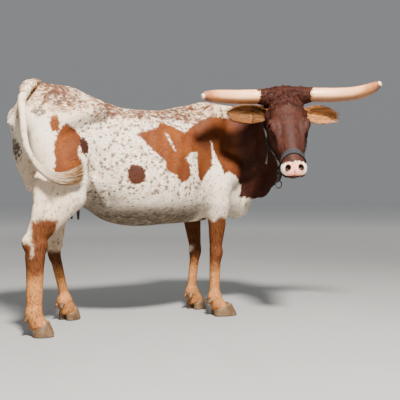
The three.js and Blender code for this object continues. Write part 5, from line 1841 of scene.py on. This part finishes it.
def unwrap_head(p):
    q = into_head(p)
    centre = np.stack([q[:, 0], 0 * q[:, 0], 0 * q[:, 0] - 40], 1)
    return in_square((q[:, 0] + 90) / 650, turn_about(q, centre, (0, 0, 1), (0, 1, 0)))


def unwrap_legs(p):
    front = p[:, 0] > 0
    up = p[:, 2] / 900
    middle = np.where(front[:, None], vec(400, 0, 0), vec(-600, 0, 0))
    back = np.where(front, 0, 90 * (0.6 - up))
    centre = np.stack([middle[:, 0] - back, np.sign(p[:, 1]) * 155, p[:, 2]], 1)
    angle = turn_about(p, centre, (1, 0, 0), (0, 1, 0))
    return in_square(angle * 0.49 + 0.5 * front, up)


def unwrap_ear(p):
    q = into_head(p)
    u = (np.abs(q[:, 1]) - 90) / 260
    v = (q[:, 0] - q[:, 2] - 60) / 260
    return in_square(u * 0.48 + 0.5 * (q[:, 1] > 0), v)


def unwrap_tail(p):
    steps = np.linspace(0, 1, 60)
    line = on_tail(steps)
    nearest = np.argmin(((p[:, None] - line[None]) ** 2).sum(2), 1)
    return in_square(steps[nearest], turn_about(p, line[nearest], (0, 1, 0), (1, 0, 0.6)))


# The coat's pieces: how many tufts and strands, then their sizes and where they grow

TRUNK_TUFTS = 45000
NECK_TUFTS = 34000
HEAD_TUFTS = 46000
LEG_TUFTS = 40000
EAR_TUFTS = 9000
TAIL_TUFTS = 9000
POLL_CURLS = 4400
POLL_LOCKS = 330
EAR_STRANDS = 1500
SWITCH_STRANDS = 4200
# Length, width and rise of a tuft
EAR_TUFT = (12, 2.2, 2.2)
TAIL_TUFT = (20, 3.0, 3.0)
# Share of the length, and rise above the skin
EAR_STRAND = [(0, -1.5), (0.2, 4), (0.45, 7), (0.7, 7.5), (1.0, 6)]
SWITCH_SPREAD = 22
SWITCH_FAN = 78
SWITCH_CLEARANCE = 3.0
CURL_WAVE = 6.0
LEG_COAT_TOP = 690
LEG_COAT_HIND, LEG_COAT_FORE = -330, 230
LEG_COAT_ASIDE = 40


def short_coat(surface, material):
    """The short flat hair, in one piece for each part of the body."""
    at = surface.face_centres()
    x, y, z = at.T
    hairless = np.max([surface.over_faces(name) for name in ("pad", "udder", "teat")], 0)
    covered = 1 - rising(hairless, 0.1, 0.5)
    head_zone = head_share(at) > 0.5
    neck_zone = (neck_share(at) > 0.5) & ~head_zone
    leg_zone = (z < LEG_COAT_TOP) & ((x < LEG_COAT_HIND) | (x > LEG_COAT_FORE))
    leg_zone = leg_zone & (np.abs(y) > LEG_COAT_ASIDE) & ~neck_zone
    trunk_zone = ~head_zone & ~neck_zone & ~leg_zone
    right = y < 0
    face = mix(1, 1.8, rising(into_head(at)[:, 0], 300, 420))
    plans = [
        ("coat_trunk_right", trunk_zone & right, TRUNK_TUFTS, unwrap_trunk, 1),
        ("coat_trunk_left", trunk_zone & ~right, TRUNK_TUFTS, unwrap_trunk, 1),
        ("coat_neck", neck_zone, NECK_TUFTS, unwrap_neck, 1),
        ("coat_head", head_zone, HEAD_TUFTS, unwrap_head, face),
        ("coat_legs_right", leg_zone & right, LEG_TUFTS, unwrap_legs, 1),
        ("coat_legs_left", leg_zone & ~right, LEG_TUFTS, unwrap_legs, 1),
    ]
    for number, (name, zone, count, unwrap, weight) in enumerate(plans):
        roots = Roots(surface, zone * covered * weight, count, number)
        length, width, lift = tuft_sizes(roots)
        place(tuft_object(name, roots, length, width, lift, unwrap, material), "coat")


def tuft_sizes(roots):
    """Length, width and rise of each tuft, smallest on the face and feet."""
    p = roots.points
    x, _, z = p.T
    q = into_head(p)
    on_head = head_share(p)
    length = 11 + 9 * falling(z, 600, 700) * falling(np.abs(x), 250, 400)
    length = length + 8 * neck_share(p) * falling(z, 840, 960)
    feet = leg_share(p) * falling(z, 300, 520)
    length = mix(length, 9, feet)
    face = mix(10, 5, rising(q[:, 0], 120, 380))
    face = mix(face, 4, falling(eye_gap(q, 16, 6), 34, 50))
    length = mix(length, face, on_head)
    width = mix(mix(3.2, 2.8, feet), 2.0, on_head) * mix(1, 0.7, on_head * rising(q[:, 0], 200, 400))
    lift = mix(mix(2.8, 1.9, feet), 1.3, on_head)
    lift = lift * mix(1, 0.5, on_head * rising(q[:, 0], 150, 400))
    return length, width, lift


def ear_coat(surface, material):
    """Short hair on the ears, and long hair in their hollows that reaches past the edge."""
    ear = surface.over_faces("ear") > 0.5
    roots = Roots(surface, ear, EAR_TUFTS, stream=20)
    place(tuft_object("coat_ears", roots, *EAR_TUFT, unwrap_ear, material, 0.2), "coat")
    inner = ear & (surface.over_faces("inner") > 0.5)
    roots = Roots(surface, inner, EAR_STRANDS, stream=21)
    lie, side = roots.directions(0.22)
    length = roots.rng.uniform(24, 50, roots.count)[:, None]
    sway = roots.rng.normal(0, 5, (roots.count, 1))
    spines = []
    for s, rise in EAR_STRAND:
        spines.append(roots.points + lie * length * s + roots.normals * rise + side * sway * s * s)
    spines = np.stack(spines, 1)
    place(strand_object("ear_hair", roots, spines, 2.4, 0.5, unwrap_ear, material), "coat")


def crest_share(p):
    """1 over the poll and the bosses of the horns."""
    out, aside, up = into_head(p).T
    crest = falling(np.abs(out - 8), 70, 120) * rising(up, -85, -50)
    return crest * falling(np.abs(aside), 150, 160) * falling(out, 60, 120) * rising(out, -110, -70)


def poll_curls(surface, material):
    """Curly locks over the poll, the forehead's top and the bosses of the horns."""
    roots = Roots(surface, crest_share(surface.face_centres()), POLL_CURLS, stream=30)
    rng = roots.rng
    out, aside, _ = into_head(roots.points).T
    forward = rising(out, -45, 20) * 2 - 1
    spread = np.tanh(aside / 55)
    boss = rising(np.abs(aside), 95, 120)
    roots.lie = HEAD_AXES[:, 0] * (forward * (1 - 0.75 * boss))[:, None]
    roots.lie = roots.lie + HEAD_AXES[:, 1] * (spread * (0.45 + boss))[:, None]
    lie, side = roots.directions(0.12)
    heads = rng.choice(roots.count, POLL_LOCKS, replace=False)
    away = np.linalg.norm(roots.points[:, None] - roots.points[None, heads], axis=2)
    lock = np.argmin(away, 1)

    def each_lock(low, high):
        return rng.uniform(low, high, (POLL_LOCKS, 1))[lock]

    swing = rng.normal(0, 0.5, (POLL_LOCKS, 1))[lock]
    middle, along_lock = roots.points[heads][lock], unit(lie[heads][lock] + side[heads][lock] * swing)
    aside = np.cross(roots.normals, along_lock)
    boss = boss[:, None]
    length = each_lock(20, 32) * (1 - 0.35 * boss)
    length = length * rng.uniform(0.8, 1.1, (roots.count, 1))
    phase = each_lock(0, 2 * math.pi) + rng.normal(0, 0.25, (roots.count, 1))
    curl = each_lock(1.6, 3.4) * (1 - 0.5 * boss)
    rise = each_lock(3, 7) * (1 - 0.6 * boss)
    spines = []
    for s in np.linspace(0, 1, 8):
        base = mix(roots.points, middle, 0.7 * rising(np.array(s), 0.0, 0.9))
        up = roots.normals * (rise * math.sin(math.pi * (0.1 + 0.75 * s)) - 2.5 * (1 - s))
        turn = phase + s * CURL_WAVE
        wave = aside * np.sin(turn) + roots.normals * 0.6 * np.cos(turn)
        spines.append(base + along_lock * length * s + up + wave * curl * min(s * 2.5, 1))
    spines = np.stack(spines, 1)
    place(strand_object("poll_curls", roots, spines, 3.2, 0.6, unwrap_head, material), "coat")


def tail_coat(surface, material):
    """Short hair down the tail, then the long hair of the switch."""
    tail = surface.tail[surface.triangles].min(1) > 0
    roots = Roots(surface, tail, TAIL_TUFTS, stream=40)
    place(tuft_object("coat_tail", roots, *TAIL_TUFT, unwrap_tail, material, 0.12), "tail_hair")
    switch = tail & (surface.over_faces("switch") > 0.3)
    roots = Roots(surface, switch, SWITCH_STRANDS, stream=41)
    rng = roots.rng
    n = roots.count
    start = nearest_share(roots.points)
    end = np.minimum(start + rng.uniform(0.12, 0.30, n), 1.0 - 0.16 * rng.uniform(0, 1, n) ** 1.5)
    centre = on_tail(start)
    out = roots.points - centre
    spread = rng.uniform(0, 1, n) ** 1.6 * SWITCH_SPREAD * rising(end, 0.82, 1)
    fan = rng.uniform(-0.2, 1, n) * SWITCH_FAN * rising(end, 0.78, 1)
    spines = []
    for s in np.linspace(0, 1, 8):
        t = mix(start, end, s)
        swell = 1 + 0.9 * math.sin(math.pi * min(s * 0.75, 1))
        away = unit(out) * (np.linalg.norm(out, axis=1) * swell + spread * s * s)[:, None]
        wave = unit(np.cross(out, X_AXIS)) * (rng.normal(0, 1.2, n) * min(s * 4, 1))[:, None]
        spines.append(on_tail(t) + away * (1 - 0.35 * s) + wave + np.outer(fan * s**1.6, Z_AXIS))
    spines = np.stack(spines, 1)
    lying = settled(trunk_and_legs, spines[:, 1:].reshape(-1, 3), SWITCH_CLEARANCE)
    spines[:, 1:] = lying.reshape(n, -1, 3)
    place(strand_object("switch_hair", roots, spines, 3.4, 0.5, unwrap_tail, material), "tail_hair")


def nearest_share(p):
    steps = np.linspace(0, 1, 200)
    line = on_tail(steps)
    return steps[np.argmin(((p[:, None] - line[None]) ** 2).sum(2), 1)]


# Horns


def horn_line(sign):
    root = from_head(mirrored(HORN_ROOT, sign))
    path = []
    for (out, forward), rise in zip(HORN_SWEEP, HORN_RISES[sign]):
        reach = root + head_left * sign * HORN_REACH * out
        path.append(reach + heading(FACE_HEADING) * HORN_FORWARD * forward + Z_AXIS * rise)
    return spline(path, 110)


def horn(sign, name, material):
    line = horn_line(sign)
    t = np.linspace(0, 1, len(line))
    radius = HORN_BASE_RADIUS * (1 - 0.06 * t - 0.42 * t**4.5)
    radius = radius * mix(1, 0.66, rising(t, 0.9, 1))
    radius = radius * np.sqrt(np.clip(1 - np.clip((t - 0.975) / 0.025, 0, 1) ** 2, 0.0004, 1))
    worn = 1 + 0.006 * np.sin(t * 150) * falling(t, 0.05, 0.4)
    sides = 44
    points, faces = tube(line, radius * worn, sides)
    made = new_object(name, points, faces, material)
    turn = round_angles(sides)
    around = np.append(np.tile(turn, len(line)), [0, 0])
    length = over_tube(t, sides)
    # How far below the horn's axis each point lies, which the painted shade on the underside follows
    below = (on_line(line, length) - points)[:, 2] / np.maximum(HORN_BASE_RADIUS * 0.9, 1)
    set_vector(made, "horn", np.stack([length, np.clip(below, 0, 1), around], 1))
    grain = np.stack([np.cos(around) * 0.04, np.sin(around) * 0.04, length * 0.06], 1)
    set_vector(made, "grain", grain)
    place(made, "horn", name)


# Feet

CLAW_SIDES = 36
CLAW_LEVELS = [
    (0, 0.955, 0), (0.02, 0.985, 0), (0.06, 1, 0), (0.2, 0.99, -1), (0.35, 0.97, -2.5), (0.5, 0.95, -4),
    (0.65, 0.925, -6), (0.8, 0.9, -8), (0.93, 0.87, -9.5), (1, 0.83, -10), (1.02, 0.6, -10),
]


def claw(name, joints, sign, material):
    """One horny claw: a flat sole, a steep wall and a rounded upper rim."""
    turn, fetlock = joints["toe_turn"], joints["fetlock"]
    toe, heel = LONG_HOOF if turn < 0 < fetlock[0] else SHORT_HOOF
    base = along(fetlock, turn, PASTERN_FORWARD, sign * TOE_SPREAD, 0)
    base[2] = 0
    angle = round_angles(CLAW_SIDES)
    c, s = np.cos(angle), np.sin(angle)
    rings = []
    for up, size, back in CLAW_LEVELS:
        rise = min(up, 1)
        front = np.maximum(c, 0)
        forward = np.where(c > 0, toe, heel) * c * size * (1 - 0.16 * rise * front) + back
        across = np.where(s * sign < 0, CLAW_INNER, CLAW_OUTER) * s * size * (1 - 0.28 * front**2)
        height = up * mix(HEEL_HEIGHT, TOE_HEIGHT, (c + 1) / 2)
        ring = base + heading(turn) * forward[:, None] + side_of(turn) * across[:, None]
        rings.append(ring + Z_AXIS * height[:, None])
    points = np.vstack([*rings, base[None], rings[-1].mean(0, keepdims=True)])
    made = new_object(name, points, tube_faces(len(rings), CLAW_SIDES), material)
    return place(made, "hoof", name)


# How far behind, beside and above the fetlock
DEWCLAW_PATH = [(-18, 17, -14), (-38, 21, -24), (-50, 23, -44)]


def dewclaw(name, joints, sign, material):
    turn, fetlock = joints["toe_turn"], joints["fetlock"]
    line = spline([along(fetlock, turn, x, sign * y, z) for x, y, z in DEWCLAW_PATH], 20)
    t = np.linspace(0, 1, 20)
    radius = mix(15, 9, t) * np.sqrt(1 - 0.97 * rising(t, 0.72, 1.02) ** 2)
    points, faces = tube(line, radius, 22)
    return place(new_object(name, points, faces, material), "hoof", name)


def feet(material):
    for name, joints in LEGS.items():
        for sign in (1, -1):
            side = "outer" if sign * joints["fetlock"][1] > 0 else "inner"
            claw("hoof_" + side + "_" + name, joints, sign, material)
            dewclaw("dewclaw_" + side + "_" + name, joints, sign, material)


# Eyes


def eye(sign, name, material):
    axes = turned(Z_AXIS, sign * EYE_TURN) @ turned(X_AXIS, sign * EYE_FORWARD)
    shape = bmesh.new()
    bmesh.ops.create_icosphere(shape, subdivisions=5, radius=1)
    local, faces = taken_from(shape)
    front = local[:, 1] * sign
    swell = 1 + 0.035 * rising(front, 0.6, 1)
    points = from_head(mirrored(EYE_AT, sign) + (local * swell[:, None] * EYE_RADIUS) @ axes.T)
    made = new_object(name, points, faces, material)
    set_vector(made, "gaze", np.stack([local[:, 0], local[:, 2], front], 1))
    place(made, "eye", name)


# Halter and chain


HEAD_AXIS_DEPTH = 40
CAST_STEPS = 40
CAST_STRIDE = 0.9


def cast_to_head(x, angle, level):
    """Points on the head's surface, out from its axis at the given angles."""
    x, angle = np.broadcast_arrays(np.asarray(x, float), angle)
    centre = from_head(np.stack([x, 0 * x, 0 * x - HEAD_AXIS_DEPTH], 1))
    direction = head_left * np.sin(angle)[:, None] + head_up * np.cos(angle)[:, None]
    reach = np.zeros(len(x))
    for _ in range(CAST_STEPS):
        gap = plain_flesh(centre + direction * reach[:, None]) - level
        reach = reach - gap * CAST_STRIDE
    return centre + direction * reach[:, None], direction


BAND_STEPS = 120
BAND_LEVEL = 1.5
BAND_THICK = 4.5
BAND_SECTION = [
    (-1, 0.2), (-0.97, 0.85), (-0.85, 1), (-0.4, 1.05), (0, 1), (0.4, 1.05),
    (0.85, 1), (0.97, 0.85), (1, 0.2), (0.9, 0), (0, 0), (-0.9, 0),
]


def noseband(material):
    """A flat woven strap round the muzzle, with rounded edges."""
    angle = round_angles(BAND_STEPS)
    middle = NOSEBAND_AT + NOSEBAND_DROP * np.sin(angle / 2) ** 2 + NOSEBAND_BOW * np.sin(angle) ** 2
    rings, run, across = [], [], []
    for share, height in BAND_SECTION:
        surface, out = cast_to_head(middle + share * NOSEBAND_WIDTH / 2, angle, BAND_LEVEL)
        rings.append(surface + out * BAND_THICK * height)
        run.append(angle * 62)
        across.append(angle * 0 + share * NOSEBAND_WIDTH / 2)
    points = np.stack(rings, 1)
    sides = len(BAND_SECTION)
    faces = [face[:1] + face[:0:-1] for face in ring_faces(BAND_STEPS, sides, BAND_STEPS)]
    made = new_object("noseband", points.reshape(-1, 3), faces, material)
    weave = np.stack([np.stack(run, 1), np.stack(across, 1), 0 * np.stack(run, 1)], 2)
    set_vector(made, "weave", weave.reshape(-1, 3))
    place(made, "webbing")


CHEEK_ROPE = [
    (432, 66, -60), (330, 76, -96), (220, 104, -120), (126, 124, -116), (44, 116, -112), (-16, 66, -100),
]
ROPE_LIE = 10


def rope_line():
    left = [from_head(point) for point in CHEEK_ROPE]
    right = [from_head((x, -y, z)) for x, y, z in reversed(CHEEK_ROPE)]
    line = spline([*left, from_head((-34, 0, -92)), *right], 60)
    return spline(settled(plain_flesh, line, ROPE_LIE), 460)


def twisted(line, strand, offset, pitch, count=3, sides=8):
    """A laid rope: strands wound round one another."""
    side, above = frames_along(line)
    run = run_along(line)
    parts = []
    for k in range(count):
        turn = 2 * math.pi * (run / pitch + k / count)
        wound = line + (side * np.cos(turn)[:, None] + above * np.sin(turn)[:, None]) * offset
        parts.append(tube(wound, strand, sides))
    return combined(parts)


def knot_line(centre, axis, radius, turns=2.2, rise=5):
    """Close turns of rope round an axis."""
    axis = unit(axis)
    side = unit(np.cross(axis, Z_AXIS if abs(axis[2]) < 0.9 else X_AXIS))
    above = np.cross(axis, side)
    t = np.linspace(-0.5, 0.5, 60)[:, None]
    turn = 2 * math.pi * turns * t
    return centre + axis * t * rise * turns + (side * np.cos(turn) + above * np.sin(turn)) * radius


def combined(parts):
    points, faces, start = [], [], 0
    for some, made in parts:
        points.append(some)
        faces += [tuple(v + start for v in face) for face in made]
        start += len(some)
    return np.vstack(points), faces


# Strand radius, how far the strands lie off the middle, and the length of one turn
ROPE = (3.3, 2.9, 30)
LOOSE_ROPE = (2.2, 1.9, 22)
SIDE_KNOT_AT = 0.82
# Radius of a knot's turns, and of the rope in them
KNOT_TURNS = (6.2, 3.4)
KNOT_CROSS_TURNS = (5.4, 3.2)
END_KNOT_TURNS = (4.6, 2.8)
LOOSE_DROPS = (0, 14, 40, 80, 125)


def knot(line, index):
    """Two sets of close turns that cross on a rope."""
    axis = line[min(index + 3, len(line) - 1)] - line[max(index - 3, 0)]
    cross = np.cross(axis, Z_AXIS + 0.2 * X_AXIS)
    wide, rope = KNOT_TURNS
    cross_wide, cross_rope = KNOT_CROSS_TURNS
    wraps = tube(knot_line(line[index], axis, wide), rope, 9)
    return [wraps, tube(knot_line(line[index], cross, cross_wide, 1.2), cross_rope, 9)]


def loose_end(start):
    """The rope's thin end, which hangs from the side knot."""
    drop = np.array(LOOSE_DROPS)
    line = start + np.outer(drop, vec(-0.05, 0.02, -1)) + np.outer(np.sin(drop / 30) * 4, X_AXIS)
    line = spline(settled(plain_flesh, line, ROPE_LIE), 120)
    wide, rope = END_KNOT_TURNS
    end_knot = tube(knot_line(line[-6], line[-1] - line[-12], wide, 2, 3.5), rope, 9)
    return [twisted(line, *LOOSE_ROPE), end_knot]


def headstall(material):
    """The rope from the noseband round behind the poll and back, its knots and its loose end."""
    line = rope_line()
    side_knot = int(len(line) * SIDE_KNOT_AT)
    parts = [twisted(line, *ROPE)]
    for index in (0, side_knot, len(line) - 1):
        parts += knot(line, index)
    parts += loose_end(line[side_knot])
    place(new_object("headstall", *combined(parts), material), "webbing", "halter")


LINK_WIRE = 3
LINK_BEND = 8
LINK_STRAIGHT = 20
RING_BEND = 21
GAP = 0.3
CHIN_OUT, CHIN_DOWN = 15, 7
CHIN_WIRE = 2.2
CHIN_LOOP = [(9, -8, 0), (9, 0, 0), (9, 9, 3), (4, CHIN_OUT, CHIN_DOWN)]


def wire_link(name, centre, turn, bend, straight, material):
    """A closed ring of wire: straight sides between two half circles."""
    angle = round_angles(72)
    high = bend * np.sin(angle) + np.sign(np.sin(angle)) * straight / 2
    flat = np.stack([bend * np.cos(angle), 0 * angle, high], 1)
    if straight:
        flat = np.vstack([flat, flat[:1]])
        run = run_along(flat)
        flat = sampled(flat, run, np.linspace(0, run[-1], 96, endpoint=False))
    middle = np.zeros_like(flat)
    middle[:, 2] = np.clip(flat[:, 2], -straight / 2, straight / 2)
    outward = unit(flat - middle)
    sides = 14
    round_wire = round_angles(sides)
    ring = outward[:, None] * np.cos(round_wire)[None, :, None] + Y_AXIS * np.sin(round_wire)[None, :, None]
    points = (flat[:, None] + ring * LINK_WIRE).reshape(-1, 3) @ turned(Z_AXIS, turn).T + centre
    faces = ring_faces(len(flat), sides, len(flat))
    place(new_object(name, points, faces, material), "steel", name)


def chain(material):
    angle = math.radians(CHAIN_ANGLE)
    tops, _ = cast_to_head(np.array([NOSEBAND_AT + CHAIN_OFFSET]), angle, NOSEBAND_THICKNESS - 2.5)
    top = tops[0]
    out = head_left * math.sin(angle) + head_up * math.cos(angle)
    bar = unit(np.cross(Z_AXIS, out))

    def chin(across, outward, down):
        return top + bar * across + out * outward - Z_AXIS * down

    loop = [chin(-across, *rest) for across, *rest in CHIN_LOOP]
    loop += [chin(across, *rest) for across, *rest in reversed(CHIN_LOOP)]
    points, faces = tube(spline(loop, 60), CHIN_WIRE, 10)
    place(new_object("chin_loop", points, faces, material), "steel")
    hang = 2 * LINK_WIRE + GAP
    half = LINK_BEND + LINK_STRAIGHT / 2
    turn = math.degrees(math.atan2(-bar[0], bar[1]))
    upper = chin(0, CHIN_OUT, CHIN_DOWN) + Z_AXIS * (CHIN_WIRE + LINK_WIRE + 3 * GAP - half)
    lower = upper - Z_AXIS * (2 * half - hang)
    ring = lower - Z_AXIS * (half - hang + RING_BEND)
    wire_link("chain_link_upper", upper, turn, LINK_BEND, LINK_STRAIGHT, material)
    wire_link("chain_link_lower", lower, turn + 90, LINK_BEND, LINK_STRAIGHT, material)
    wire_link("chain_ring", ring, turn, RING_BEND, 0, material)


# The whole animal

FLESH_NODES = ["torso", "neck", "head", "ear_left", "ear_right", "udder"]
FLESH_NODES += ["tail_dock", "tail_mid", "tail_switch"]
FLESH_NODES += [part + name for part in ("upper_leg_", "lower_leg_") for name in LEGS]


def animal():
    parts = [body_part(), tail_part(), ear_part(1), ear_part(-1)]
    surface = joined(parts)
    surface.tail = np.concatenate([np.full(len(s.points), float(i == 1)) for i, s in enumerate(parts)])
    skin = new_object("skin", surface.points, surface.faces, skin_material())
    give_values(skin, surface.points, surface.comb, surface.values)
    place(skin, "coat", *FLESH_NODES)
    normals = np.empty(len(surface.points) * 3, np.float32)
    skin.data.vertices.foreach_get("normal", normals)
    surface.normals = normals.reshape(-1, 3).astype(float)
    surface.triangles = triangles_of(surface.faces)
    hair = tuft_material()
    for coat in (short_coat, ear_coat, poll_curls, tail_coat):
        coat(surface, hair)


animal()
horns = horn_material()
horn(1, "horn_left", horns)
horn(-1, "horn_right", horns)
feet(hoof_material())
eyes = eye_material()
eye(1, "eye_left", eyes)
eye(-1, "eye_right", eyes)
noseband(webbing_material())
headstall(rope_material())
chain(steel_material())


# Floor, light and camera

FLOOR_REACH = 40
FLOOR_GAP = 0.0005


def floor():
    shape = bmesh.new()
    bmesh.ops.create_grid(shape, x_segments=2, y_segments=2, size=FLOOR_REACH)
    data = bpy.data.meshes.new("floor")
    shape.to_mesh(data)
    shape.free()
    data.materials.append(floor_material())
    made = linked("floor", data)
    made.location.z = -FLOOR_GAP


# Metres and watts
LIGHTS = {
    "key": dict(at=(-1.4, -3.9, 5.0), aim=(0, -0.1, 0.8), size=0.9, power=1750, colour=(1.0, 0.955, 0.885)),
    "fill": dict(at=(4.2, -4.0, 2.2), aim=(0.2, -0.2, 0.8), size=3.5, power=25, colour=(0.93, 0.96, 1.0)),
    "back": dict(at=(1.5, 4.5, 4.0), aim=(0, 0, 0.8), size=3.0, power=80, colour=(1.0, 0.98, 0.95)),
}


def area_light(name, at, aim, size, power, colour):
    data = bpy.data.lights.new(name, "AREA")
    data.shape = "DISK"
    data.size = size
    data.energy = power
    data.color = colour
    made = linked(name, data)
    made.location = at
    made.rotation_euler = look(unit(vec(*aim) - vec(*at)))


def look(direction):
    """Euler angles that turn -Z to the direction, with +Y up."""
    heading_z = math.atan2(-direction[0], direction[1])
    down = math.acos(max(-1, min(1, -direction[2])))
    return (down, 0, heading_z)


def camera():
    data = bpy.data.cameras.new("camera")
    data.lens = CAMERA_LENS
    data.sensor_width = CAMERA_SENSOR
    data.clip_end = 100
    made = linked("camera", data)
    made.location = to_world(CAMERA_AT)
    made.location.z = CAMERA_AT[2] * MM
    made.rotation_euler = (math.radians(90 - CAMERA_DOWN), 0, math.radians(-CAMERA_HEADING))
    bpy.context.scene.camera = made


HORIZON_LIGHT = 0.26
SKY_LIGHT = 0.27
SKY_COLOUR = (0.95, 0.97, 1.0)


def world():
    """A pale even sky, a little brighter above."""
    made = bpy.data.worlds.new("studio")
    g = Graph(made)
    background = g.tree.nodes["Background"].inputs
    up = g.split(g.place("Generated"))[2]
    g.link(g.step(up, 0.0, 0.7, HORIZON_LIGHT, SKY_LIGHT), background[1])
    g.link(SKY_COLOUR, background[0])
    bpy.context.scene.world = made


floor()
world()
for name, light in LIGHTS.items():
    area_light(name, **light)
camera()
